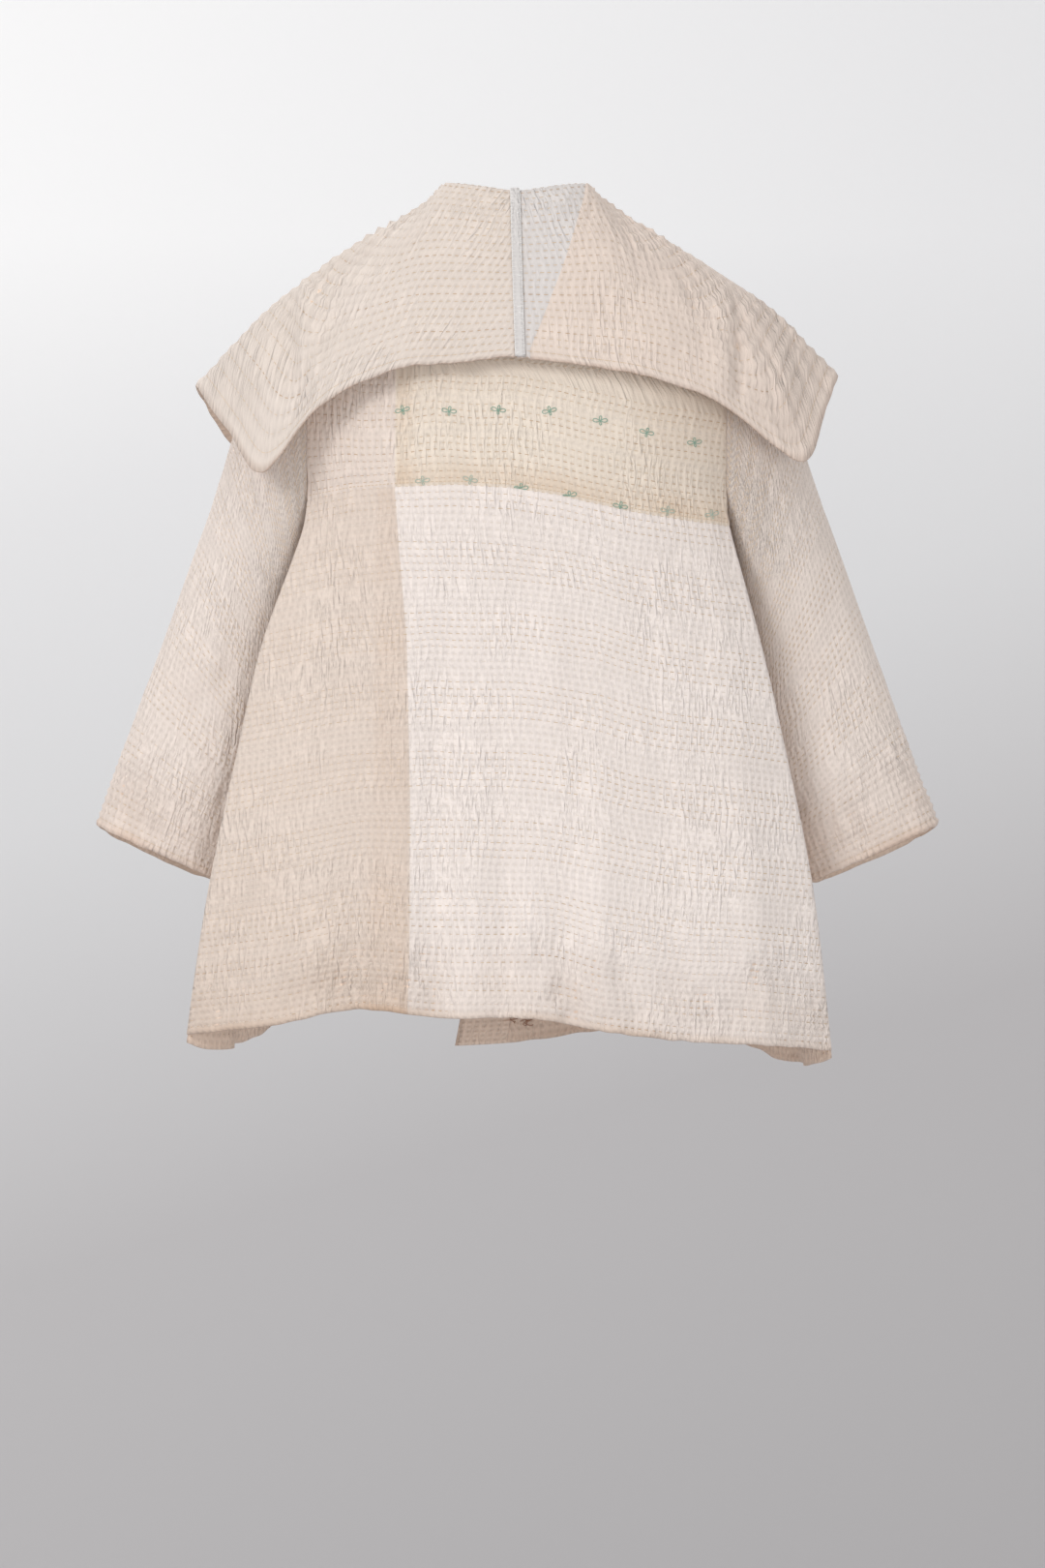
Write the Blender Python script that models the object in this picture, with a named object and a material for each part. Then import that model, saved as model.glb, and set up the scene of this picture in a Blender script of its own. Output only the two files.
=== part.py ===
"""Kantha jacket: a hollow, open-fronted quilted jacket with a wide square-cornered cape collar.

Metres, +Z up. The front faces -Y, the back +Y, and +X is the wearer's left. The origin is the
middle of the line between the two neck points, where the jacket hangs on the wearer's shoulders.
Every piece of cloth is a thin closed wall round a middle surface that the functions work out.
"""
import math

import bmesh
import bpy
import numpy as np

WALL = 0.0020             # two or three layers of quilted cotton
TRIM_WALL = 0.0012        # the single turned layers: facing and seam binding
SEAM_GAP = 0.0003         # space between two sewn pieces
QUILT_RISE = 0.0009       # how far the cloth puffs up between two lines of quilting

SHOULDER_X = 0.200        # centre to shoulder tip
NECK_X = 0.080            # centre to neck point
NECK_BACK_Y = 0.060       # depth of the back neckline behind the shoulder seam
SHOULDER_DROP = 0.045     # neck point to shoulder tip, in height
CROWN = 0.1125            # height over which the cloth rounds off the shoulder
ARM_HALF_HEIGHT = 0.1125  # half of the armhole's height
ARM_HALF_DEPTH = 0.070    # half of the armhole, front to back
ARM_SQUARENESS = 2.6      # exponent of the armhole's lower half; 2 would be a plain oval
SIDE_SEAM_Y = 0.057       # where the side seam meets the armhole
BREAK_Z = -0.420          # foot of the V neckline, where the collar ends

# One row for each level of the body. Edge is the side seam, which stands out behind the sleeve.
BODY_COLUMNS = ("z", "left_edge_x", "right_edge_x", "edge_y", "back_y", "side_x", "front_y")
BODY_ROWS = (
    (-0.100, 0.200, 0.200, 0.0700, 0.106, 0.1972, 0.096),
    (-0.1575, 0.200, 0.200, 0.0700, 0.113, 0.1972, 0.108),
    (-0.2155, 0.200, 0.200, 0.0649, 0.117, 0.1962, 0.119),
    (-0.2377, 0.200, 0.200, 0.0570, 0.118, 0.1948, 0.122),
    (-0.264, 0.2006, 0.2006, 0.0588, 0.118, 0.1942, 0.124),
    (-0.300, 0.211, 0.209, 0.0622, 0.117, 0.1950, 0.126),
    (-0.340, 0.226, 0.220, 0.0648, 0.115, 0.1990, 0.127),
    (-0.373, 0.238, 0.229, 0.0645, 0.114, 0.205, 0.128),
    (-0.492, 0.267, 0.257, 0.0580, 0.114, 0.227, 0.130),
    (-0.604, 0.291, 0.280, 0.0520, 0.118, 0.250, 0.132),
    (-0.760, 0.315, 0.299, 0.0460, 0.126, 0.276, 0.134),
    (-0.820, 0.322, 0.305, 0.0450, 0.128, 0.284, 0.135),
)

# Height of each hem along X.
BACK_HEM = ((-0.315, -0.777), (-0.217, -0.766), (-0.155, -0.762), (-0.078, -0.751),
            (-0.020, -0.741), (0.076, -0.740), (0.145, -0.732), (0.227, -0.747), (0.330, -0.762))
RIGHT_FRONT_HEM = ((-0.315, -0.777), (-0.262, -0.787), (-0.220, -0.775), (-0.150, -0.760),
                   (-0.080, -0.757), (0.000, -0.764), (0.065, -0.769))
LEFT_FRONT_HEM = ((-0.040, -0.726), (0.100, -0.730), (0.200, -0.742), (0.245, -0.761),
                  (0.276, -0.768), (0.330, -0.762))

# Soft upright folds of the body. Each one deepens from its top down to the hem.
FOLD_COLUMNS = ("panel", "hem_x", "top_x", "top_z", "half_width", "depth")
FOLD_ROWS = (
    ("back", 0.247, 0.190, -0.30, 0.024, 0.008),
    ("back", 0.168, 0.140, -0.42, 0.022, -0.006),
    ("back", 0.078, 0.074, -0.28, 0.019, -0.009),
    ("back", 0.012, 0.020, -0.44, 0.018, -0.007),
    ("back", -0.050, -0.042, -0.50, 0.016, -0.006),
    ("back", -0.082, -0.072, -0.34, 0.018, 0.006),
    ("back", -0.160, -0.130, -0.46, 0.024, -0.005),
    ("back", -0.240, -0.190, -0.30, 0.022, 0.007),
    ("left", 0.225, 0.165, -0.34, 0.022, 0.009),
    ("left", 0.165, 0.120, -0.42, 0.020, -0.008),
    ("left", 0.095, 0.080, -0.48, 0.018, 0.006),
    ("right", -0.228, -0.165, -0.34, 0.022, 0.010),
    ("right", -0.172, -0.125, -0.44, 0.020, -0.009),
    ("right", -0.105, -0.085, -0.50, 0.020, 0.006),
)

# One row for each ring of a sleeve: its outer point, its inner point and its depth.
SLEEVE_COLUMNS = ("outer_x", "outer_z", "inner_x", "inner_z", "middle_y", "half_depth")
SLEEVE_ROWS = (
    (0.2000, -0.045, 0.2000, -0.2700, 0.000, 0.0700),
    (0.2460, -0.112, 0.2110, -0.3250, -0.005, 0.0640),
    (0.2920, -0.250, 0.2290, -0.4100, -0.012, 0.0520),
    (0.3480, -0.405, 0.2510, -0.5100, -0.020, 0.0440),
    (0.4060, -0.562, 0.2790, -0.6180, -0.028, 0.0390),
)
CUFF_FRONT_DROP = 0.009   # the front of a cuff hangs lower than its back

# One row for each section of the collar, from the centre back round to the foot of the V.
# Each section climbs from the neckline to the roll, turns over it and falls to the free edge.
COLLAR_COLUMNS = ("seam_at", "roll_x", "roll_y", "roll_z", "fall_x", "fall_y", "fall_z",
                  "left_edge_x", "right_edge_x", "edge_y", "left_edge_z", "right_edge_z", "bulge")
COLLAR_ROWS = (
    (0.00, 0.000, 0.062, 0.0450, 0.000, 0.101, -0.035, 0.000, 0.000, 0.128, -0.1160, -0.1170, 0.000),
    (0.30, 0.034, 0.058, 0.0500, 0.046, 0.100, -0.034, 0.060, 0.060, 0.129, -0.1215, -0.1240, 0.000),
    (0.60, 0.062, 0.044, 0.0535, 0.092, 0.094, -0.034, 0.118, 0.124, 0.127, -0.1290, -0.1350, 0.002),
    (0.80, 0.069, 0.024, 0.0520, 0.138, 0.082, -0.044, 0.188, 0.195, 0.120, -0.1640, -0.1610, 0.006),
    (0.95, 0.071, 0.008, 0.0510, 0.170, 0.060, -0.044, 0.242, 0.270, 0.106, -0.2240, -0.2140, 0.014),
    (1.00, 0.071, 0.001, 0.0500, 0.186, 0.032, -0.032, 0.274, 0.292, 0.062, -0.1850, -0.1700, 0.014),
    (1.05, 0.071, -0.008, 0.0490, 0.190, 0.000, -0.028, 0.308, 0.309, 0.006, -0.1400, -0.1280, 0.009),
    (1.20, 0.070, -0.030, 0.0420, 0.184, -0.042, -0.040, 0.288, 0.290, -0.062, -0.1780, -0.1700, 0.014),
    (1.38, 0.068, -0.072, 0.0020, 0.156, -0.094, -0.082, 0.240, 0.242, -0.106, -0.2400, -0.2360, 0.010),
    (1.56, 0.062, -0.114, -0.0850, 0.128, -0.128, -0.170, 0.176, 0.178, -0.124, -0.3020, -0.3020, 0.004),
    (1.78, 0.042, -0.138, -0.2420, 0.086, -0.146, -0.296, 0.116, 0.116, -0.147, -0.3640, -0.3640, 0.000),
    (1.98, 0.020, -0.146, -0.3980, 0.034, -0.151, -0.410, 0.050, 0.050, -0.152, -0.4240, -0.4240, 0.000),
)
ROLL_RADIUS = 0.0065

FACING_WIDTH = 0.044      # turned-back strip inside each front edge
BINDING_WIDTH = 0.0095    # overlocked strip that covers the collar's centre seam
LAP_GAP = 0.0105          # the left front passes this far outside the right front

CREAM = (0.80, 0.72, 0.62)
WARM_CREAM = (0.76, 0.66, 0.55)
PINK_CREAM = (0.79, 0.70, 0.62)
WHITE_THREAD = (0.88, 0.86, 0.82)

for old_object in list(bpy.data.objects):
    bpy.data.objects.remove(old_object, do_unlink=True)


def smooth_curve(places, values):
    """Function for the smooth curve through the values, which may be numbers or points."""
    places = np.asarray(places, float)
    values = np.asarray(values, float)
    slopes = np.gradient(values, places, axis=0)

    def curve(at):
        index = min(max(int(places.searchsorted(at)) - 1, 0), len(places) - 2)
        span = places[index + 1] - places[index]
        step = min(max((at - places[index]) / span, 0.0), 1.0)
        square, cube = step ** 2, step ** 3
        return ((2 * cube - 3 * square + 1) * values[index]
                + (cube - 2 * square + step) * span * slopes[index]
                + (3 * square - 2 * cube) * values[index + 1]
                + (cube - square) * span * slopes[index + 1])

    return curve


ARM_MIDDLE_Z = -SHOULDER_DROP - ARM_HALF_HEIGHT
ARM_POWER = 2 / ARM_SQUARENESS
ARM_SEAM_ANGLE = math.acos((SIDE_SEAM_Y / ARM_HALF_DEPTH) ** (1 / ARM_POWER))
ARM_SEAM_Z = ARM_MIDDLE_Z - ARM_HALF_HEIGHT * math.sin(ARM_SEAM_ANGLE) ** ARM_POWER
BODY_LEVELS = [-row[0] for row in BODY_ROWS]
BODY_CURVES = {name: smooth_curve(BODY_LEVELS, [row[index] for row in BODY_ROWS])
               for index, name in enumerate(BODY_COLUMNS)}
HEM_CURVES = {name: smooth_curve(*zip(*hem)) for name, hem in
              (("back", BACK_HEM), ("left", LEFT_FRONT_HEM), ("right", RIGHT_FRONT_HEM))}


def body(name, height):
    return BODY_CURVES[name](-height)


def shoulder_height(across):
    beyond_neck = max(abs(across) - NECK_X, 0.0)
    return -SHOULDER_DROP * beyond_neck / (SHOULDER_X - NECK_X)


def smooth_step(value):
    value = min(max(value, 0.0), 1.0)
    return value * value * (3 - 2 * value)


def fold_depth(panel, across, height):
    """How far the soft folds push the cloth out, or in where it is negative."""
    total = 0.0
    for name, hem_x, top_x, top_z, half_width, depth in FOLD_ROWS:
        if name != panel or height > top_z:
            continue
        down = (top_z - height) / (top_z + 0.76)
        middle = top_x + (hem_x - top_x) * down
        total += depth * smooth_step(down * 1.15) * math.exp(-((across - middle) / half_width) ** 2)
    return total


def descend(across, down, panel):
    """Height, and how much of its depth the section has, at 0 shoulder, 1 chest, 2 hem."""
    top = shoulder_height(across)
    if down <= 1.0:
        angle = down * math.pi / 2
        return top - CROWN * (1 - math.cos(angle)), math.sin(angle)
    chest = top - CROWN
    return chest + (HEM_CURVES[panel](across) - chest) * (down - 1.0), 1.0


def back_section(across, down):
    """Point of the back: across runs from -1, wearer's right side seam, to 1, left."""
    edge_name = "left_edge_x" if across > 0 else "right_edge_x"
    guess = across * SHOULDER_X
    for _ in range(4):
        height, fullness = descend(guess, down, "back")
        edge_x = body(edge_name, min(height, -CROWN))
        if height > ARM_SEAM_Z:
            edge_x = min(edge_x, SHOULDER_X)
        guess = across * edge_x
    level = min(height, -CROWN)
    edge_y = body("edge_y", level)
    roundness = 1 - abs(across) ** 2.8
    depth = edge_y + (body("back_y", level) - edge_y) * roundness
    depth += fold_depth("back", guess, height) * (1 - abs(across) ** 8)
    return np.array((guess, depth * fullness, height))


def back_neck_down(across):
    """Where the back neckline starts, as a share of the way down to the chest."""
    reach = abs(across) / NECK_X
    if reach >= 1.0:
        return 0.0
    neck_y = NECK_BACK_Y * math.sqrt(1 - reach ** 2)
    full_y = back_section(across / SHOULDER_X, 1.0)[1]
    return 2 / math.pi * math.asin(neck_y / full_y)


def back_surface(u, v):
    across = 2 * u - 1
    top = back_neck_down(across * SHOULDER_X)
    return back_section(across, top + (2 - top) * v)


EDGE_LEVELS = (0.0, 0.06, 0.14, 0.28, -BREAK_Z, 0.60, 0.80)
EDGE_CURVES = {side: smooth_curve(EDGE_LEVELS, (NECK_X, 0.075, 0.062, 0.036, 0.014, (0.014 + end) / 2, end))
               for side, end in (("left", -0.022), ("right", -0.064))}
FRONT_SHARES = (0.0, 0.30, 0.52, 0.68, 0.80, 0.91, 1.0)
FRONT_SPREAD = (0.0, 0.42, 0.74, 0.91, 0.99, 1.0)      # below the armholes
CHEST_SPREAD = (0.0, 0.45, 0.82, 1.0, 1.0, 1.0)        # beside them, squarer
FRONT_DEPTH = (1.0, 1.0, 0.90, 0.66, 0.33, -0.08)


def front_section(side, share, down):
    """Point of a front on the +X side: share runs from the front edge, 0, to the side seam, 1."""
    sign = 1 if side == "left" else -1
    guess = 0.02 + 0.18 * share
    for _ in range(5):
        height, fullness = descend(sign * guess, down, side)
        level = min(height, -CROWN)
        edge_x = EDGE_CURVES[side](-height)
        side_x = body("side_x", level)
        front_y = body("front_y", level)
        square = smooth_step((level + 0.30) / 0.11)
        spread = [low + (high - low) * square for low, high in zip(FRONT_SPREAD, CHEST_SPREAD)]
        across = [edge_x + (side_x - edge_x) * part for part in spread]
        across.append(body(side + "_edge_x", level))
        guess = smooth_curve(FRONT_SHARES, across)(share)
    depth = [-front_y * part for part in FRONT_DEPTH] + [body("edge_y", level)]
    y = smooth_curve(FRONT_SHARES, depth)(share)
    lap = smooth_step((0.17 - guess) / 0.08) * smooth_step((BREAK_Z - height) / 0.05)
    if side == "left":
        y -= LAP_GAP * lap
    y -= fold_depth(side, sign * guess, height) * smooth_step((0.9 - share) / 0.2)
    return np.array((guess, y * fullness, height))


def front_share_at(side, depth, down):
    """The share of a front's section that lies at this depth near the arm."""
    shares = np.linspace(0.5, 1.0, 41)
    depths = [front_section(side, share, down)[1] for share in shares]
    return float(np.interp(depth, depths, shares))


UPPER_ROWS = 0.20         # share of a front's rows beside the upper armhole
ARM_ROWS = 0.42           # share of them down to the top of the side seam


UNDERARM_ROWS = UPPER_ROWS + (ARM_ROWS - UPPER_ROWS) * math.pi / 2 / (math.pi - ARM_SEAM_ANGLE)
UNDERARM_DIP = 0.080      # how far the rows sag to pass below the armhole
UNDERARM_MARGIN = 0.025   # rows above and below the underarm whose outer end faces sideways


def underarm(v):
    if v < ARM_ROWS:
        return max((v - UNDERARM_ROWS) / (ARM_ROWS - UNDERARM_ROWS), 0.0)
    return 1 - smooth_step((v - ARM_ROWS) / 0.26)


def front_outline(side):
    """Function that gives the share and the level of a front's outer edge at each row."""
    sign = 1 if side == "left" else -1
    hem_z = HEM_CURVES[side](sign * 0.30)
    chest_z = -SHOULDER_DROP - CROWN
    chest_share = front_share_at(side, -ARM_HALF_DEPTH, 1.0)
    samples = np.linspace(math.pi, 2 * math.pi - ARM_SEAM_ANGLE, 9)
    downs = []
    shares = []
    for angle in samples:
        height = ARM_MIDDLE_Z - (ARM_HALF_HEIGHT + WALL * 0.8) * abs(math.sin(angle)) ** ARM_POWER
        down = 1 + (chest_z - height) / (chest_z - hem_z)
        downs.append(down)
        depth = math.copysign(abs(math.cos(angle)) ** ARM_POWER, math.cos(angle))
        depth *= ARM_HALF_DEPTH + WALL * 0.8
        shares.append(front_share_at(side, depth, down))
    shares[-1] = 1.0
    seam_down = downs[-1]

    def outline(v):
        if v <= UPPER_ROWS:
            return chest_share, v / UPPER_ROWS
        if v <= ARM_ROWS:
            place = (v - UPPER_ROWS) / (ARM_ROWS - UPPER_ROWS) * (len(samples) - 1)
            return (float(np.interp(place, range(len(samples)), shares)),
                    float(np.interp(place, range(len(samples)), downs)))
        return 1.0, seam_down + (2 - seam_down) * (v - ARM_ROWS) / (1 - ARM_ROWS)

    return outline


def front_surface(side):
    outline = front_outline(side)
    edge_curve = smooth_curve((0.0, UPPER_ROWS, ARM_ROWS, 1.0), (0.0, 0.92, 1.32, 2.0))
    sign = 1 if side == "left" else -1

    def surface(u, v):
        end_share, end_down = outline(v)
        edge_down = edge_curve(v)
        down = edge_down + (end_down - edge_down) * u ** 1.6
        down += UNDERARM_DIP * underarm(v) * smooth_step((u - 0.5) / 0.35) * smooth_step((1 - u) / 0.06)
        point = front_section(side, u * end_share, down)
        point[0] *= sign
        return point

    return surface


def sleeve_surface(side):
    sign = 1 if side == "left" else -1
    rings = smooth_curve(np.linspace(0, 1, len(SLEEVE_ROWS)), SLEEVE_ROWS)

    def surface(u, v):
        angle = 2 * math.pi * u
        outer_x, outer_z, inner_x, inner_z, middle_y, half_depth = rings(v)
        across, along = math.sin(angle), math.cos(angle)
        if along < 0:
            power = 1 + (ARM_POWER - 1) * (1 - v) ** 2
            across = math.copysign(abs(across) ** power, across)
            along = -abs(along) ** power
        lift = (1 + along) / 2
        x = inner_x + (outer_x - inner_x) * lift
        z = inner_z + (outer_z - inner_z) * lift
        y = middle_y + half_depth * across
        front = max(-math.sin(angle), 0.0)
        z -= CUFF_FRONT_DROP * front * v ** 4
        crease = 0.004 * math.sin(3 * angle + 9 * v) * math.sin(math.pi * v) * v
        y += crease * math.sin(angle)
        return np.array((sign * (x + SEAM_GAP), y, z))

    return surface


def collar_seam(side, seam_at):
    """Point on the neckline, 0 centre back, 1 neck point, 2 foot of the V, moved off its panel."""
    sign = 1 if side == "left" else -1
    if seam_at <= 1.0:
        across = sign * math.sin(seam_at * math.pi / 2) * NECK_X / SHOULDER_X
        point = back_section(across, back_neck_down(across * SHOULDER_X))
    else:
        point = front_section(side, 0.0, NECKLINE_DOWN(seam_at))
    point[0] = abs(point[0])
    past_neck_point = min(max((seam_at - 1) / 0.4, 0.0), 1.0)
    rise = 0.035 * (1 - past_neck_point)
    inward = np.array((0.0, point[1] * past_neck_point, point[2] + rise)) - point
    return point + inward / np.linalg.norm(inward) * (WALL * 1.2 - WALL * 0.3 * past_neck_point)


NECKLINE_DOWN = smooth_curve((1.0, 1.38, 1.56, 2.0), (0.0, 0.62, 1.0, 1.48))


def collar_surface(side):
    sign = 1 if side == "left" else -1
    net = []
    for row in COLLAR_ROWS:
        value = dict(zip(COLLAR_COLUMNS, row))
        roll = np.array((value["roll_x"], value["roll_y"], value["roll_z"]))
        fall = np.array((value["fall_x"], value["fall_y"], value["fall_z"]))
        edge = np.array((value[side + "_edge_x"], value["edge_y"], value[side + "_edge_z"]))
        outward = edge - roll
        outward[2] = 0.0
        outward /= np.linalg.norm(outward)
        stand = roll - collar_seam(side, value["seam_at"])
        upward = stand - outward * stand.dot(outward)
        upward /= np.linalg.norm(upward)
        radius = min(ROLL_RADIUS, 0.4 * np.linalg.norm(stand))
        inside = roll - outward * radius - upward * radius
        outside = roll + outward * radius - upward * radius
        drape = (fall + edge) / 2 + np.array((0, 0, value["bulge"]))
        net.append(((value["seam_at"], 0, 0), inside, roll, outside, fall, drape, edge))
    net = np.array(net)
    mirrored = net[1:2] * np.array((-1, 1, 1))
    net = np.concatenate((mirrored, net))
    steps = np.linalg.norm(np.diff(net[:, 4], axis=0), axis=1) + 0.02
    places = np.concatenate(((0.0,), np.cumsum(steps)))
    places = (places - places[1]) / (places[-1] - places[1])
    sections = smooth_curve(places, net)
    threads = {}

    def section_at(u):
        if u not in threads:
            section = sections(u)
            seam = collar_seam(side, max(section[0][0], 0.0))
            section[0] = (seam + section[1]) / 2
            threads[u] = np.concatenate((seam[None], section))
        return threads[u]

    rise = np.linalg.norm(np.diff(section_at(0.0), axis=0), axis=1)
    levels = np.concatenate(((0.0,), np.cumsum(rise))) / rise.sum()

    def surface(u, v):
        point = smooth_curve(levels, section_at(u))(v)
        point[0] = sign * (max(point[0], 0.0) + SEAM_GAP / 2)
        return point

    return surface, levels


def make_material(name, colour):
    material = bpy.data.materials.new(name)
    material.use_nodes = True
    shader = material.node_tree.nodes["Principled BSDF"]
    shader.inputs["Base Color"].default_value = (*colour, 1.0)
    shader.inputs["Roughness"].default_value = 0.85
    shader.inputs["Metallic"].default_value = 0.0
    return material


def normal_at(surface, u, v):
    step = 0.002
    u_low, u_high = max(u - step, 0.0), min(u + step, 1.0)
    v_low, v_high = max(v - step, 0.0), min(v + step, 1.0)
    along_u = surface(u_high, v) - surface(u_low, v)
    along_v = surface(u, v_high) - surface(u, v_low)
    normal = np.cross(along_u, along_v)
    return normal / np.linalg.norm(normal)


def cloth_wall(name, surface, places, levels, colour, turn=1, thickness=WALL, rise=QUILT_RISE,
               closed=False, steady=None, seat=None, lift=0.0):
    """Closed wall round a surface. Its outer face has a ridge between each two inner rows."""
    fine_levels = np.interp(np.arange(0, len(levels) - 0.5, 0.5), range(len(levels)), levels)
    columns = len(places)
    mesh = bmesh.new()
    outer = []
    inner = []
    for row, v in enumerate(fine_levels):
        outer_row = []
        inner_row = []
        for step, u in enumerate(places):
            normal = turn * normal_at(surface, u, v)
            if steady is not None:
                normal = steady(normal, u, v)
            middle = surface(u, v) + normal * lift
            if seat is not None:
                middle = seat(middle, normal, u, v)
            at_side = not closed and step in (0, columns - 1)
            ridge = rise if row % 2 and not at_side else 0.0
            outer_row.append(mesh.verts.new(middle + normal * (thickness / 2 + ridge)))
            if row % 2 == 0:
                inner_row.append(mesh.verts.new(middle - normal * thickness / 2))
        outer.append(outer_row)
        if row % 2 == 0:
            inner.append(inner_row)
    steps = range(columns) if closed else range(columns - 1)
    for row in range(len(outer) - 1):
        for step in steps:
            after = (step + 1) % columns
            mesh.faces.new((outer[row][step], outer[row][after],
                            outer[row + 1][after], outer[row + 1][step]))
    for row in range(len(inner) - 1):
        for step in steps:
            after = (step + 1) % columns
            mesh.faces.new((inner[row][step], inner[row + 1][step],
                            inner[row + 1][after], inner[row][after]))
    for row in (0, -1):
        for step in steps:
            after = (step + 1) % columns
            mesh.faces.new((outer[row][step], inner[row][step], inner[row][after], outer[row][after]))
    if not closed:
        for step in (0, -1):
            for row in range(len(inner) - 1):
                low, ridge, high = (outer[2 * row + extra][step] for extra in (0, 1, 2))
                mesh.faces.new((inner[row][step], low, ridge))
                mesh.faces.new((inner[row][step], ridge, inner[row + 1][step]))
                mesh.faces.new((inner[row + 1][step], ridge, high))
    bmesh.ops.recalc_face_normals(mesh, faces=mesh.faces)
    if mesh.calc_volume(signed=True) < 0:
        bmesh.ops.reverse_faces(mesh, faces=mesh.faces)
    data = bpy.data.meshes.new(name)
    mesh.to_mesh(data)
    mesh.free()
    data.shade_smooth()
    cloth = bpy.data.objects.new(name, data)
    cloth.data.materials.append(make_material(name + " cotton", colour))
    bpy.context.scene.collection.objects.link(cloth)
    return cloth


def make_back():
    half = (0.0, 0.124, 0.235, 0.324, 0.380, 0.40, 0.55, 0.70, 0.85, 1.0)
    places = [0.5 - share / 2 for share in reversed(half)] + [0.5 + share / 2 for share in half[1:]]
    levels = np.concatenate((np.linspace(0, 0.5, 8)[:-1], np.linspace(0.5, 1, 23)))

    def square_to_seams(normal, u, v):
        if v == 0.0 and normal[2] > 0.3:
            normal = normal * np.array((1, 0, 1))
        if u in (0.0, 1.0) and back_surface(u, v)[2] > ARM_SEAM_Z - WALL * 8:
            normal = normal * np.array((0, 1, 1))
        return normal / np.linalg.norm(normal)

    def beside_shoulder(point, normal, u, v):
        if v == 0.0 and abs(point[0]) > NECK_X - 0.001:
            point[1] += SEAM_GAP / 2
        return point

    cloth_wall("back", back_surface, places, levels, CREAM, steady=square_to_seams,
               seat=beside_shoulder)


def make_front(side):
    places = (0.0, 0.13, 0.26, 0.39, 0.52, 0.64, 0.74, 0.83, 0.90, 0.955, 1.0)
    side_levels = np.linspace(ARM_ROWS, 1, 17)
    levels = np.concatenate((np.linspace(0, UPPER_ROWS, 6)[:-1],
                             np.linspace(UPPER_ROWS, ARM_ROWS, 8)[:-1], side_levels))
    sign = 1 if side == "left" else -1
    surface = front_surface(side)

    def square_to_seams(normal, u, v):
        if v == 0.0:
            normal = normal * np.array((1, 0, 1))
        if u == 1.0 and v <= UPPER_ROWS:
            normal = normal * np.array((0, 1, 1))
        if u > 0.89 and UNDERARM_ROWS - UNDERARM_MARGIN < v < ARM_ROWS + UNDERARM_MARGIN:
            normal = np.array((sign, 0.0, 0.0))
        return normal / np.linalg.norm(normal)

    def beside_seams(point, normal, u, v):
        if v == 0.0:
            point[1] -= SEAM_GAP / 2
        if u == 1.0 and v > ARM_ROWS - 0.001:
            point[1] -= WALL
            point[0] -= sign * WALL * 0.4
        if u == 1.0 and v <= ARM_ROWS:
            room = SHOULDER_X - abs(normal[0]) * WALL / 2
            point[0] = sign * min(sign * point[0], room)
        return point

    cloth_wall("front_" + side, surface, places, levels, CREAM, turn=-sign,
               steady=square_to_seams, seat=beside_seams)

    def facing_surface(u, v):
        return surface(0.006 + u * FACING_WIDTH / 0.24, v)

    cloth_wall("facing_" + side, facing_surface, (0.0, 0.5, 1.0), side_levels[6:], WARM_CREAM,
               turn=-sign, thickness=TRIM_WALL, rise=0.0,
               lift=-(WALL / 2 + 2 * SEAM_GAP + TRIM_WALL / 2))


def make_sleeve(side):
    places = np.arange(16) / 16
    levels = np.linspace(0, 1, 21)
    turn = -1 if side == "left" else 1

    def upright_end(normal, u, v):
        if v == 0.0:
            normal = normal * np.array((0, 1, 1))
        return normal / np.linalg.norm(normal)

    cloth_wall("sleeve_" + side, sleeve_surface(side), places, levels, CREAM, turn=turn,
               closed=True, steady=upright_end)


def make_collar(side):
    surface, knots = collar_surface(side)
    places = np.concatenate((np.linspace(0, 0.5, 12)[:-1], np.linspace(0.5, 1, 9)))
    levels = np.array(list(knots[:5]) + list(np.linspace(knots[4], 1.0, 10)[1:]))
    turn = 1 if side == "left" else -1

    def centre_flat(normal, u, v):
        if u == 0.0:
            normal = normal * np.array((0, 1, 1))
        return normal / np.linalg.norm(normal)

    cloth_wall("collar_" + side, surface, places, levels, PINK_CREAM, turn=turn, steady=centre_flat)
    return surface, levels


def make_binding(collar, levels):
    def binding_surface(u, v):
        point = collar(0.0, v)
        point[0] = (u - 0.5) * BINDING_WIDTH + 0.002 - 0.005 * v
        return point

    cloth_wall("collar_centre_binding", binding_surface, (0.0, 0.5, 1.0), levels[3:], WHITE_THREAD,
               thickness=TRIM_WALL, rise=0.0,
               lift=WALL / 2 + QUILT_RISE + 2 * SEAM_GAP + TRIM_WALL / 2)


make_back()
for panel_side in ("left", "right"):
    make_front(panel_side)
    make_sleeve(panel_side)
left_collar, collar_levels = make_collar("left")
make_collar("right")
make_binding(left_collar, collar_levels)
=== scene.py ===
"""Looks of the kantha jacket: hand-quilted patchwork cotton, filled out with no wearer."""
import math

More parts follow.
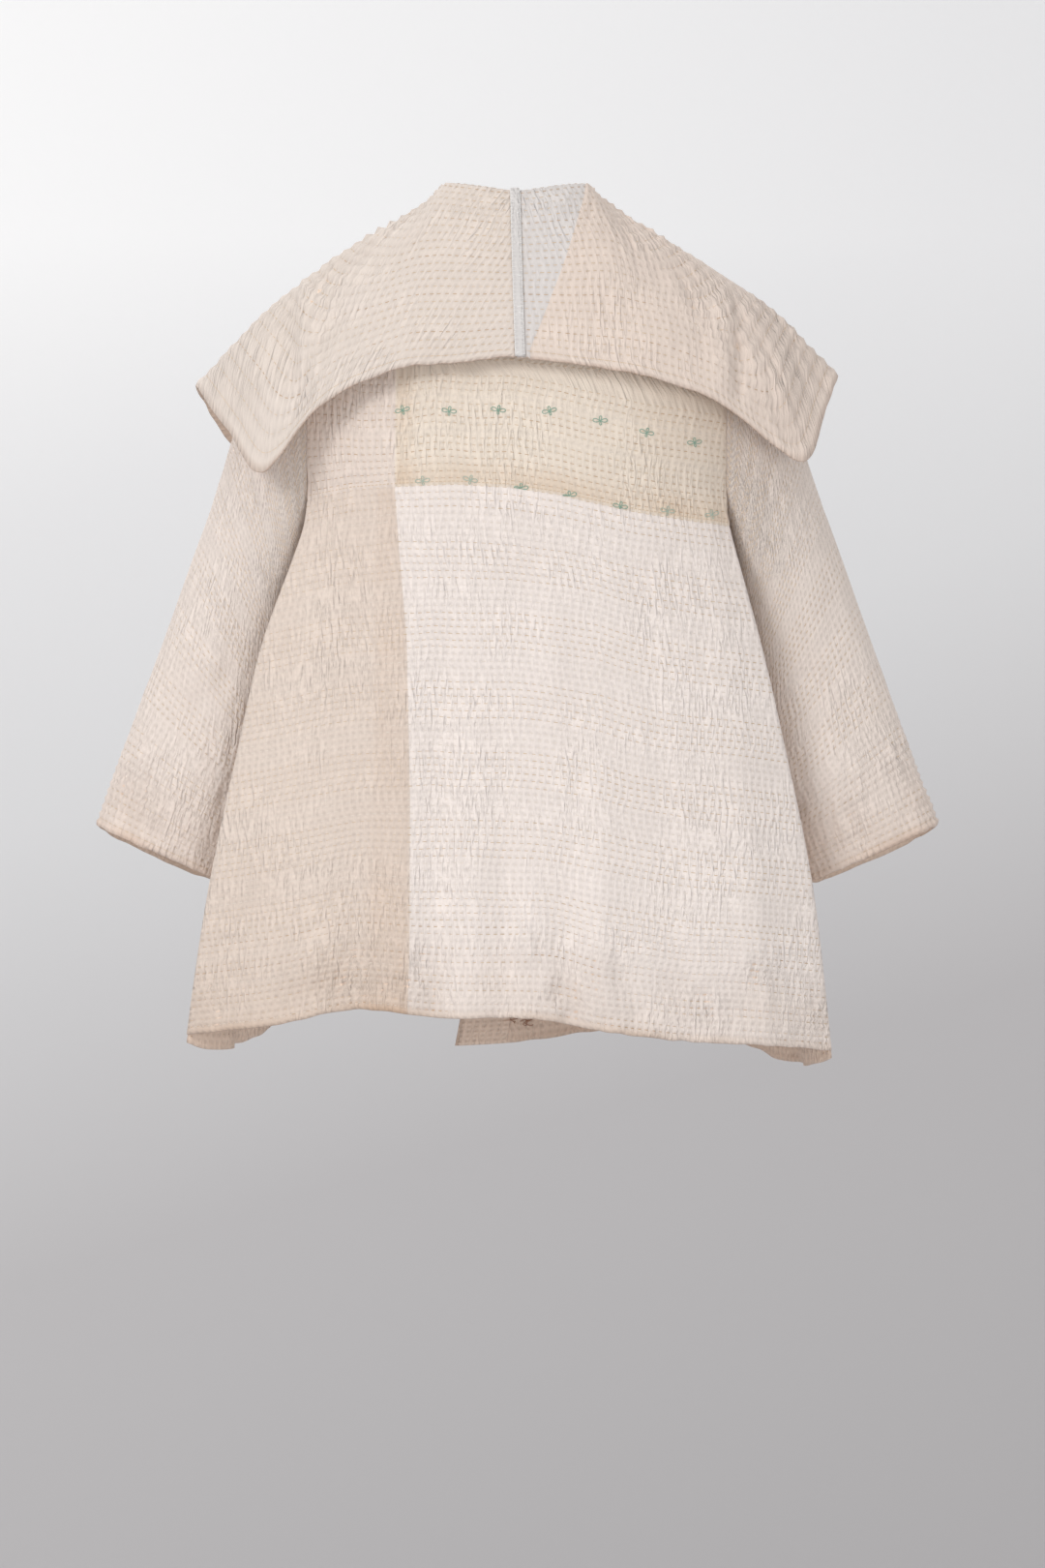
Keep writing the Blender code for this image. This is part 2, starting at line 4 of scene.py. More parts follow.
import bpy
import numpy as np
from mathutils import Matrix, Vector


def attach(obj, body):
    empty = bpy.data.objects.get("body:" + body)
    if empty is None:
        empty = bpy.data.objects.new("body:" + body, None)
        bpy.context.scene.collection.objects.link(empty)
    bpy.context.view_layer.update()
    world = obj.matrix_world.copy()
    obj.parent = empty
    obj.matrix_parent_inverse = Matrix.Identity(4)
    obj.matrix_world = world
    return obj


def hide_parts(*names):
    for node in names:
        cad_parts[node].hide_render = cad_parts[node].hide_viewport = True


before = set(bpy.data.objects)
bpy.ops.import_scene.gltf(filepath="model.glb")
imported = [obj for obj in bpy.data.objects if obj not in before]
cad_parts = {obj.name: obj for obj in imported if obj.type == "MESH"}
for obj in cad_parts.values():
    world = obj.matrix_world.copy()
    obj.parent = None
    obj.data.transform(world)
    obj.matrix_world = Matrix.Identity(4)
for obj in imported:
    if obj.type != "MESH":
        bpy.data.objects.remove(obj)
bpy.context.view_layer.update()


# Camera, light and a pale sweep of paper with a painted light falloff and a faint glow. The camera
# stands level, far behind the jacket.
def linear(hex_colour):
    """Colour for a shader socket, from a colour as it looks on a screen."""
    values = [int(hex_colour[place:place + 2], 16) / 255 for place in (1, 3, 5)]
    return [v / 12.92 if v <= 0.04045 else ((v + 0.055) / 1.055) ** 2.4 for v in values] + [1.0]


def add_node(material, kind, settings=None, **inputs):
    """Adds a shader node. An input is a value, or a socket that is linked to it."""
    tree = material.node_tree
    node = tree.nodes.new("ShaderNode" + kind)
    for name, value in (settings or {}).items():
        setattr(node, name, value)
    for name, value in inputs.items():
        key = int(name[1:]) if name[0] == "i" and name[1:].isdigit() else name.replace("_", " ")
        if isinstance(value, bpy.types.NodeSocket):
            tree.links.new(value, node.inputs[key])
        else:
            node.inputs[key].default_value = value
    return node


def new_material(name):
    material = bpy.data.materials.new(name)
    material.use_nodes = True
    return material, material.node_tree.nodes["Principled BSDF"]


def link(material, socket, shader, name):
    material.node_tree.links.new(socket, shader.inputs[name])


VIEW_HEIGHT = 1.4904
CAMERA_PLACE = Vector((-0.0055, 6.08, -0.37))
camera_data = bpy.data.cameras.new("camera")
camera_data.sensor_fit = "VERTICAL"
camera_data.sensor_height = 36.0
camera_data.lens = 36.0 * (CAMERA_PLACE.y - 0.08) / VIEW_HEIGHT
camera_data.shift_y = -0.15 / VIEW_HEIGHT
camera = bpy.data.objects.new("camera", camera_data)
camera.location = CAMERA_PLACE
camera.rotation_euler = (math.pi / 2, 0.0, math.pi)
bpy.context.scene.collection.objects.link(camera)
bpy.context.scene.camera = camera
bpy.context.scene.view_settings.view_transform = "Standard"

# Each lamp's name, place, size in metres and power in watts.
LAMPS = (("key", (2.5, 3.2, 1.5), 1.4, 66.0), ("fill", (-1.8, 4.9, -0.5), 1.6, 38.0),
         ("low", (0.3, 2.8, -1.5), 1.2, 4.5), ("front", (0.5, -2.6, 1.4), 2.6, 60.0))
JACKET_MIDDLE = Vector((0.0, 0.0, -0.4))
for name, place, size, power in LAMPS:
    lamp_data = bpy.data.lights.new(name, "AREA")
    lamp_data.size = size
    lamp_data.energy = power
    lamp = bpy.data.objects.new(name, lamp_data)
    lamp.location = place
    lamp.rotation_euler = (JACKET_MIDDLE - Vector(place)).to_track_quat("-Z", "Y").to_euler()
    bpy.context.scene.collection.objects.link(lamp)

world = bpy.data.worlds.new("studio")
world.use_nodes = True
world.node_tree.nodes["Background"].inputs["Color"].default_value = (1.0, 1.0, 1.0, 1.0)
world.node_tree.nodes["Background"].inputs["Strength"].default_value = 0.76
bpy.context.scene.world = world

# The paper stands far enough off for a camera to pass between it and the jacket.
FLOOR_Z = -2.8
BEND_Y = -6.4             # where the floor starts to turn up
BEND_RADIUS = 1.6
HALF_PAPER = 16.0
sweep_line = [(9.0, FLOOR_Z), (BEND_Y, FLOOR_Z)]
sweep_line += [(BEND_Y - BEND_RADIUS * math.sin(turn), FLOOR_Z + BEND_RADIUS * (1 - math.cos(turn)))
               for turn in np.linspace(0.1, math.pi / 2, 14)]
sweep_line.append((BEND_Y - BEND_RADIUS, 7.0))
sweep_mesh = bpy.data.meshes.new("sweep")
sweep_mesh.from_pydata([(x, y, z) for y, z in sweep_line for x in (-HALF_PAPER, HALF_PAPER)], [],
                       [(k, k + 1, k + 3, k + 2) for k in range(0, 2 * len(sweep_line) - 2, 2)])
sweep_mesh.shade_smooth()
sweep = bpy.data.objects.new("sweep", sweep_mesh)
bpy.context.scene.collection.objects.link(sweep)
paper, paper_shader = new_material("studio paper with painted light falloff")
paper_shader.inputs["Roughness"].default_value = 0.9
paper_place = add_node(paper, "TexCoord").outputs["Object"]
paper_split = add_node(paper, "SeparateXYZ", Vector=paper_place)
height_share = add_node(paper, "MapRange", Value=paper_split.outputs["Z"],
                        From_Min=-2.49, From_Max=0.5)
side_share = add_node(paper, "MapRange", Value=paper_split.outputs["X"],
                      From_Min=-1.69, From_Max=1.69)
side_part = add_node(paper, "Math", {"operation": "MULTIPLY"}, i0=side_share.outputs[0], i1=0.25)
painted_light_share = add_node(paper, "Math", {"operation": "MULTIPLY_ADD"}, i0=height_share.outputs[0],
                       i1=0.75, i2=side_part.outputs[0])
# Painted light: the paper's colour is pale at the top and towards +X and greyer towards the floor
# and -X, standing in for the light falling off. The same colour is also given out as a faint glow.
paper_painted_light = add_node(paper, "ValToRGB", Fac=painted_light_share.outputs[0])
for stop, tone in ((0.0, "#a6a4a5"), (0.375, "#bbb9ba"), (0.625, "#dcdcdd"),
                   (0.8, "#e9e9ea"), (1.0, "#ffffff")):
    element = (paper_painted_light.color_ramp.elements[0] if stop == 0.0 else
               paper_painted_light.color_ramp.elements[-1] if stop == 1.0 else
               paper_painted_light.color_ramp.elements.new(stop))
    element.color = linear(tone)
link(paper, paper_painted_light.outputs["Color"], paper_shader, "Base Color")
link(paper, paper_painted_light.outputs["Color"], paper_shader, "Emission Color")
paper_shader.inputs["Emission Strength"].default_value = 0.25
sweep_mesh.materials.append(paper)


# Back: one panel pieced from four washed cottons and quilted through with rows of running stitch.
# The patches meet in crisp turned seams. The cloth puffs up between the rows, more along the hem.
WALL = 0.0020             # two or three layers of quilted cotton
SEAM_GAP = 0.0003         # space between two sewn pieces

SHOULDER_X = 0.200        # centre to shoulder tip
NECK_X = 0.080            # centre to neck point
NECK_BACK_Y = 0.060       # depth of the back neckline behind the shoulder seam
SHOULDER_DROP = 0.045     # neck point to shoulder tip, in height
CROWN = 0.1125            # height over which the cloth rounds off the shoulder
ARM_HALF_HEIGHT = 0.1125  # half of the armhole's height
ARM_HALF_DEPTH = 0.070    # half of the armhole, front to back
ARM_SQUARENESS = 2.6      # exponent of the armhole's lower half; 2 would be a plain oval
SIDE_SEAM_Y = 0.057       # where the side seam meets the armhole
BREAK_Z = -0.420          # foot of the V neckline, where the collar ends

# One row for each level of the body. Edge is the side seam, which stands out behind the sleeve.
BODY_COLUMNS = ("z", "left_edge_x", "right_edge_x", "edge_y", "back_y", "side_x", "front_y")
BODY_ROWS = (
    (-0.100, 0.200, 0.200, 0.0700, 0.106, 0.1972, 0.096),
    (-0.1575, 0.200, 0.200, 0.0700, 0.113, 0.1972, 0.108),
    (-0.2155, 0.200, 0.200, 0.0649, 0.117, 0.1962, 0.119),
    (-0.2377, 0.200, 0.200, 0.0570, 0.118, 0.1948, 0.122),
    (-0.264, 0.2006, 0.2006, 0.0588, 0.118, 0.1942, 0.124),
    (-0.300, 0.211, 0.209, 0.0622, 0.117, 0.1950, 0.126),
    (-0.340, 0.226, 0.220, 0.0648, 0.115, 0.1990, 0.127),
    (-0.373, 0.238, 0.229, 0.0645, 0.114, 0.205, 0.128),
    (-0.492, 0.267, 0.257, 0.0580, 0.114, 0.227, 0.130),
    (-0.604, 0.291, 0.280, 0.0520, 0.118, 0.250, 0.132),
    (-0.760, 0.315, 0.299, 0.0460, 0.126, 0.276, 0.134),
    (-0.820, 0.322, 0.305, 0.0450, 0.128, 0.284, 0.135),
)

# Height of each hem along X.
BACK_HEM = (
    (-0.315, -0.777), (-0.217, -0.766), (-0.155, -0.762), (-0.078, -0.751), (-0.020, -0.741),
    (0.076, -0.740), (0.145, -0.732), (0.227, -0.747), (0.330, -0.762),
)
RIGHT_FRONT_HEM = (
    (-0.315, -0.777), (-0.268, -0.794), (-0.228, -0.781), (-0.150, -0.766), (-0.080, -0.768),
    (0.000, -0.779), (0.065, -0.783),
)
LEFT_FRONT_HEM = (
    (-0.040, -0.726), (0.100, -0.730), (0.200, -0.744), (0.242, -0.762), (0.268, -0.775),
    (0.296, -0.775), (0.330, -0.762),
)

# Soft upright folds of the body. Each one deepens from its top down to the hem.
# One row for each: its panel, hem_x, top_x, top_z, half_width and depth.
FOLD_ROWS = (
    ("back", 0.247, 0.190, -0.30, 0.024, 0.008),
    ("back", 0.168, 0.140, -0.42, 0.022, -0.006),
    ("back", 0.078, 0.074, -0.28, 0.019, -0.009),
    ("back", 0.012, 0.020, -0.44, 0.018, -0.007),
    ("back", -0.050, -0.042, -0.50, 0.016, -0.006),
    ("back", -0.082, -0.072, -0.34, 0.018, 0.006),
    ("back", -0.160, -0.130, -0.46, 0.024, -0.005),
    ("back", -0.240, -0.190, -0.30, 0.022, 0.007),
    ("left", 0.225, 0.165, -0.34, 0.022, 0.009),
    ("left", 0.165, 0.120, -0.42, 0.020, -0.008),
    ("left", 0.095, 0.080, -0.48, 0.018, 0.006),
    ("right", -0.228, -0.165, -0.34, 0.022, 0.010),
    ("right", -0.172, -0.125, -0.44, 0.020, -0.009),
    ("right", -0.105, -0.085, -0.50, 0.020, 0.006),
)

def smooth_curve(places, values):
    """Function for the smooth curve through the values, which may be numbers or points."""
    places = np.asarray(places, float)
    values = np.asarray(values, float)
    slopes = np.gradient(values, places, axis=0)

    def curve(at):
        index = min(max(int(places.searchsorted(at)) - 1, 0), len(places) - 2)
        span = places[index + 1] - places[index]
        step = min(max((at - places[index]) / span, 0.0), 1.0)
        square, cube = step ** 2, step ** 3
        return ((2 * cube - 3 * square + 1) * values[index]
                + (cube - 2 * square + step) * span * slopes[index]
                + (3 * square - 2 * cube) * values[index + 1]
                + (cube - square) * span * slopes[index + 1])

    return curve

ARM_MIDDLE_Z = -SHOULDER_DROP - ARM_HALF_HEIGHT
ARM_POWER = 2 / ARM_SQUARENESS
ARM_SEAM_ANGLE = math.acos((SIDE_SEAM_Y / ARM_HALF_DEPTH) ** (1 / ARM_POWER))
ARM_SEAM_Z = ARM_MIDDLE_Z - ARM_HALF_HEIGHT * math.sin(ARM_SEAM_ANGLE) ** ARM_POWER
BODY_LEVELS = [-row[0] for row in BODY_ROWS]
BODY_CURVES = {name: smooth_curve(BODY_LEVELS, [row[index] for row in BODY_ROWS])
               for index, name in enumerate(BODY_COLUMNS)}
HEM_CURVES = {name: smooth_curve(*zip(*hem)) for name, hem in
              (("back", BACK_HEM), ("left", LEFT_FRONT_HEM), ("right", RIGHT_FRONT_HEM))}


def body(name, height):
    return BODY_CURVES[name](-height)


def shoulder_height(across):
    beyond_neck = max(abs(across) - NECK_X, 0.0)
    return -SHOULDER_DROP * beyond_neck / (SHOULDER_X - NECK_X)


def ease(values):
    """Zero up to 0, one from 1 on, and a smooth step between them."""
    values = np.clip(values, 0.0, 1.0)
    return values * values * (3 - 2 * values)


def fold_depth(panel, across, height):
    """How far the soft folds push the cloth out, or in where it is negative."""
    total = 0.0
    for name, hem_x, top_x, top_z, half_width, depth in FOLD_ROWS:
        if name != panel or height > top_z:
            continue
        down = (top_z - height) / (top_z + 0.76)
        middle = top_x + (hem_x - top_x) * down
        total += depth * ease(down * 1.15) * math.exp(-((across - middle) / half_width) ** 2)
    return total


def descend(across, down, panel):
    """Height, and how much of its depth the section has, at 0 shoulder, 1 chest, 2 hem."""
    top = shoulder_height(across)
    if down <= 1.0:
        angle = down * math.pi / 2
        return top - CROWN * (1 - math.cos(angle)), math.sin(angle)
    chest = top - CROWN
    return chest + (HEM_CURVES[panel](across) - chest) * (down - 1.0), 1.0


def back_section(across, down):
    """Point of the back: across runs from -1, wearer's right side seam, to 1, left."""
    edge_name = "left_edge_x" if across > 0 else "right_edge_x"
    guess = across * SHOULDER_X
    for _ in range(4):
        height, fullness = descend(guess, down, "back")
        edge_x = body(edge_name, min(height, -CROWN))
        if height > ARM_SEAM_Z:
            edge_x = min(edge_x, SHOULDER_X)
        guess = across * edge_x
    level = min(height, -CROWN)
    edge_y = body("edge_y", level)
    roundness = 1 - abs(across) ** 2.8
    depth = edge_y + (body("back_y", level) - edge_y) * roundness
    depth += fold_depth("back", guess, height) * (1 - abs(across) ** 8)
    return np.array((guess, depth * fullness, height))


def back_neck_down(across):
    """Where the back neckline starts, as a share of the way down to the chest."""
    reach = abs(across) / NECK_X
    if reach >= 1.0:
        return 0.0
    neck_y = NECK_BACK_Y * math.sqrt(1 - reach ** 2)
    full_y = back_section(across / SHOULDER_X, 1.0)[1]
    return 2 / math.pi * math.asin(neck_y / full_y)


def back_surface(u, v):
    across = 2 * u - 1
    top = back_neck_down(across * SHOULDER_X)
    return back_section(across, top + (2 - top) * v)


def make_net(surface, columns, rows):
    """Points of a surface on a coarse net. Rows run down it and columns across."""
    return np.array([[surface(u, v) for u in np.linspace(0, 1, columns)]
                     for v in np.linspace(0, 1, rows)])


def grid(rows, columns, top=0.0, left=0.0, right=1.0):
    """Shares of the way down and across, for each point of a grid."""
    return np.meshgrid(np.linspace(top, 1, rows), np.linspace(left, right, columns), indexing="ij")


def spread(net, across, down, ring=False):
    """Smooth surface through a net, read at arrays of places."""
    net = np.concatenate((2 * net[:1] - net[1:2], net, 2 * net[-1:] - net[-2:-1]))
    if ring:
        net = np.concatenate((net[:, -2:-1], net, net[:, 1:2]), axis=1)
        across = across % 1.0
    else:
        net = np.concatenate((2 * net[:, :1] - net[:, 1:2], net,
                              2 * net[:, -1:] - net[:, -2:-1]), axis=1)
    found = []
    for share, count in ((down, net.shape[0] - 2), (across, net.shape[1] - 2)):
        place = share * (count - 1)
        index = np.clip(np.floor(place).astype(int), 0, count - 2)
        t = place - index
        found.append((index, (-t ** 3 / 2 + t ** 2 - t / 2, 1.5 * t ** 3 - 2.5 * t ** 2 + 1,
                              -1.5 * t ** 3 + 2 * t ** 2 + t / 2, t ** 3 / 2 - t ** 2 / 2)))
    (row, row_weights), (column, column_weights) = found
    total = 0.0
    for a, row_weight in enumerate(row_weights):
        for b, column_weight in enumerate(column_weights):
            total = total + net[row + a, column + b] * (row_weight * column_weight)[..., None]
    return total


def face_out(net, across, down, turn, ring=False):
    """Unit normals of the smooth surface at arrays of places."""
    step = 0.004
    along_u = spread(net, across + step, down, ring) - spread(net, across - step, down, ring)
    along_v = spread(net, across, down + step, ring) - spread(net, across, down - step, ring)
    return unit(turn * np.cross(along_u, along_v))


def unit(vectors):
    return vectors / np.maximum(np.linalg.norm(vectors, axis=-1, keepdims=True), 1e-9)


def wander(shape, cells, seed):
    """Smooth random field of about -1 to 1, the same each run."""
    knots = np.random.default_rng(seed).uniform(-1, 1, (cells[0] + 1, cells[1] + 1, 1))
    down, across = grid(*shape[:2])
    return spread(knots, across, down)[..., 0]


def nearest(points, x, z):
    """Indices of the points of a cloth that lie closest to these places, seen from behind."""
    return np.argmin((points[:, 0] - x[:, None]) ** 2 + (points[:, 2] - z[:, None]) ** 2, axis=1)


def lengths(points):
    """Metres of cloth across and down from the first corner, for each point of a grid."""
    across = np.linalg.norm(np.diff(points, axis=1), axis=2)
    down = np.linalg.norm(np.diff(points, axis=0), axis=2)
    return (np.concatenate((np.zeros((len(points), 1)), np.cumsum(across, axis=1)), axis=1),
            np.concatenate((np.zeros((1, points.shape[1])), np.cumsum(down, axis=0))))


def crease(points, rows, facing=1, sign=1):
    """Soft troughs and ridges laid along given lines, on the side that faces this way.

    Each row has a line's start_x, start_z, end_x and end_z, its half_width and its depth. Sign
    mirrors the lines to the other side."""
    total = np.zeros(points.shape[:2])
    for start_x, start_z, end_x, end_z, half_width, depth in rows:
        line = np.array((sign * (end_x - start_x), end_z - start_z))
        offset = points[..., (0, 2)] - np.array((sign * start_x, start_z))
        share = np.clip(offset @ line / (line @ line), 0, 1)
        gap = np.linalg.norm(offset - share[..., None] * line, axis=2)
        fade = ease(share / 0.25) * ease((1 - share) / 0.25) * 0.85 + 0.15
        total += depth * fade * np.exp(-(gap / half_width) ** 2)
    return total * ease(facing * points[..., 1] / 0.03)


STITCH_PITCH = 0.0073
STITCH_LENGTH = 0.0042
ROW_PITCH = 0.0065
HEM_BORDER = 0.0065       # width of the stitched border along a hem
BORDER_RISE = 0.00015     # how much thicker it is


def quilt(along, depth, seed):
    """Puffs between rows of stitches, dimpled at each stitch. Even rows carry the stitches.

    Along is the cloth's distance across from the line that the stitches are counted from."""
    shape = along.shape
    rows = np.where(np.arange(shape[0]) % 2 == 0, -1.0, 1.0)[:, None]
    uneven = np.clip(1 + 1.0 * wander(shape, (shape[0] // 11, shape[1] // 9), seed), 0.2, 2.0)
    dimples = -np.cos(2 * math.pi * along / STITCH_PITCH) * (0.6 - 0.4 * rows)
    puckers = wander(shape, (shape[0] // 8, shape[1] // 2), seed + 1)
    crumple = wander(shape, (shape[0] // 3, shape[1] // 3), seed + 3)
    waves = wander(shape, (shape[0] // 20, shape[1] // 13), seed + 2)
    tight = np.clip(depth / 0.0006 - 0.3, 0.15, 1.0)
    relief = tight * rows + 0.7 * dimples + 1.1 * puckers + 0.7 * crumple * tight
    return depth * uneven * relief + 0.0008 * waves


def ruffle(points, normals, edge, seed, amount):
    """Small uneven waves in a free edge of the cloth, in its plane and out of it."""
    count = points.shape[1]
    fade = ease(1 - edge / 0.010)
    waves = wander((2, count), (1, count // 3), seed)[:1] * np.ones((points.shape[0], 1))
    puffs = wander((2, count), (1, count // 4), seed + 1)[:1] * np.ones((points.shape[0], 1))
    down = np.gradient(points, axis=0)
    return (unit(down) * (amount * waves * fade)[..., None]
            + normals * (1.2 * amount * puffs * fade)[..., None])


def drift(count, seed):
    """How far the stitches of each row lie out of step with those of the first."""
    return (STITCH_PITCH * 0.8 * wander((count, 2), (count // 9, 1), seed)[:, 0]
            + STITCH_PITCH * 0.3 * wander((count, 2), (count // 3, 1), seed + 1)[:, 0])


def lay_out(points, normals, line, seeds, pressed=0.008, waves=0.0007):
    """Ruffles a panel's free edge in place and measures the cloth. The line is its stitches' zero.

    Gives the metres across and down, the distances to the free edge and to the nearest side, how
    free of its seams the cloth is, the rows' drift, and each row's zero and places along it."""
    cloth_across, cloth_down = lengths(points)
    from_edge = cloth_down[-1:] - cloth_down
    from_side = np.minimum(cloth_across, cloth_across[:, -1:] - cloth_across)
    calm = ease(np.minimum(from_side, cloth_down) / pressed) * ease(from_edge / 0.003 + 0.4)
    ruffles = ruffle(points, normals, from_edge, seeds[0], waves)
    points += ruffles * ease(from_side / 0.01)[..., None]
    shift = drift(len(points), seeds[1])
    start = cloth_across[:, line] + shift
    along = cloth_across - start[:, None]
    return cloth_across, cloth_down, from_edge, from_side, calm, shift, start, along


def border(from_edge, width, rise):
    """The flat stitched border that lies along a free edge."""
    return np.where((from_edge < width) & (from_edge > 0.0001), rise, 0.0)


def cloth_places(along):
    """Stitch and row coordinates of the cloth, in metres."""
    rows = np.arange(along.shape[0]) * ROW_PITCH / 2
    return np.stack((along, np.broadcast_to(rows[:, None], along.shape)), axis=2)


def cotton(name, light, dark, stain):
    """Washed hand-loomed cotton: slightly mottled, with a plain weave of about 0.6 mm.

    Longer noise draws its slubs, and the furrows that the quilting pulls between the stitches."""
    material, shader = new_material(name)
    shader.inputs["Roughness"].default_value = 0.92
    shader.inputs["Sheen Weight"].default_value = 0.12
    shader.inputs["Sheen Roughness"].default_value = 0.6
    shader.inputs["Specular IOR Level"].default_value = 0.2
    place = add_node(material, "TexCoord")
    spot, cloth = place.outputs["Object"], place.outputs["UV"]
    clouds = add_node(material, "TexNoise", Vector=spot, Scale=9.0, Detail=4.0)
    mixed = add_node(material, "Mix", {"data_type": "RGBA"}, Factor=clouds.outputs["Fac"],
                     i6=linear(light), i7=linear(dark))
    stretched = add_node(material, "Mapping", Vector=cloth, Scale=(420.0, 90.0, 1.0))
    slub = add_node(material, "TexNoise", Vector=stretched.outputs["Vector"], Scale=1.0, Detail=3.0)
    slub_tone = add_node(material, "MapRange", Value=slub.outputs["Fac"],
                         From_Min=0.25, From_Max=0.75, To_Min=0.95, To_Max=1.05)
    slubbed = add_node(material, "VectorMath", {"operation": "SCALE"}, i0=mixed.outputs[2],
                       Scale=slub_tone.outputs[0])
    mark = add_node(material, "Attribute", {"attribute_name": "stain"})
    worn = add_node(material, "Mix", {"data_type": "RGBA"}, Factor=mark.outputs["Fac"],
                    i6=slubbed.outputs[0], i7=linear(stain))
    threads = []
    for direction in ("X", "Y"):
        threads.append(add_node(material, "TexWave", {"bands_direction": direction}, Vector=cloth,
                                Scale=520.0, Distortion=0.6).outputs["Fac"])
    weave = add_node(material, "Math", {"operation": "ADD"}, i0=threads[0], i1=threads[1])
    weave_bump = add_node(material, "Bump", Height=weave.outputs[0], Strength=0.5, Distance=0.00012)
    turns = add_node(material, "VectorMath", {"operation": "MULTIPLY"}, i0=cloth,
                     i1=(2 * math.pi / STITCH_PITCH, 2 * math.pi / ROW_PITCH, 0.0))
    split = add_node(material, "SeparateXYZ", Vector=turns.outputs[0])
    shift = add_node(material, "Attribute", {"attribute_name": "shift"})
    in_step = add_node(material, "Math", {"operation": "MULTIPLY_ADD"}, i0=shift.outputs["Fac"],
                       i1=-2 * math.pi / STITCH_PITCH, i2=split.outputs["X"])
    along_stitch = add_node(material, "Math", {"operation": "COSINE"}, i0=in_step.outputs[0])
    across_rows = add_node(material, "Math", {"operation": "COSINE"}, i0=split.outputs["Y"])
    pinches = []
    for wave in (along_stitch, across_rows):
        pinches.append(add_node(material, "MapRange", Value=wave.outputs[0],
                                From_Min=-1.0, From_Max=1.0))
    dimple = add_node(material, "Math", {"operation": "MULTIPLY"}, i0=pinches[0].outputs[0],
                      i1=pinches[1].outputs[0])
    upright = add_node(material, "Mapping", Vector=cloth, Scale=(150.0, 34.0, 1.0))
    crinkle = add_node(material, "TexNoise", Vector=upright.outputs["Vector"],
                       Scale=1.0, Detail=2.0)
    from_line = add_node(material, "Math", {"operation": "SUBTRACT"},
                         i0=crinkle.outputs["Fac"], i1=0.5)
    off_line = add_node(material, "Math", {"operation": "ABSOLUTE"}, i0=from_line.outputs[0])
    furrow = add_node(material, "MapRange", Value=off_line.outputs[0], From_Max=0.13)
    patchy = add_node(material, "TexNoise", Vector=spot, Scale=13.0, Detail=2.0)
    amount = add_node(material, "MapRange", Value=patchy.outputs["Fac"],
                      From_Min=0.40, From_Max=0.62, To_Min=0.35, To_Max=1.5)
    furrows = add_node(material, "Math", {"operation": "MULTIPLY"},
                       i0=furrow.outputs[0], i1=amount.outputs[0])
    relief = add_node(material, "Math", {"operation": "MULTIPLY_ADD"},
                      i0=dimple.outputs[0], i1=-0.8, i2=furrows.outputs[0])
    bump = add_node(material, "Bump", Height=relief.outputs[0], Strength=1.0, Distance=0.0007,
                    Normal=weave_bump.outputs["Normal"])
    link(material, bump.outputs["Normal"], shader, "Normal")
    # Painted shade and light: the base colour is darkened down to 0.88 in the stitch dimples and the
    # furrows, and lifted to 1.03 on the cloth between them.
    cavity_painted_shade = add_node(material, "MapRange", Value=relief.outputs[0], From_Min=-0.75, From_Max=0.75,
                      To_Min=0.88, To_Max=1.03)
    shaded = add_node(material, "VectorMath", {"operation": "SCALE"}, i0=worn.outputs[2],
                      Scale=cavity_painted_shade.outputs[0])
    link(material, shaded.outputs[0], shader, "Base Color")
    return material


def place_object(name, mesh, nodes=()):
    piece = bpy.data.objects.new(name, mesh)
    bpy.context.scene.collection.objects.link(piece)
    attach(piece, "root")
    if nodes:
        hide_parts(*nodes)
    return piece


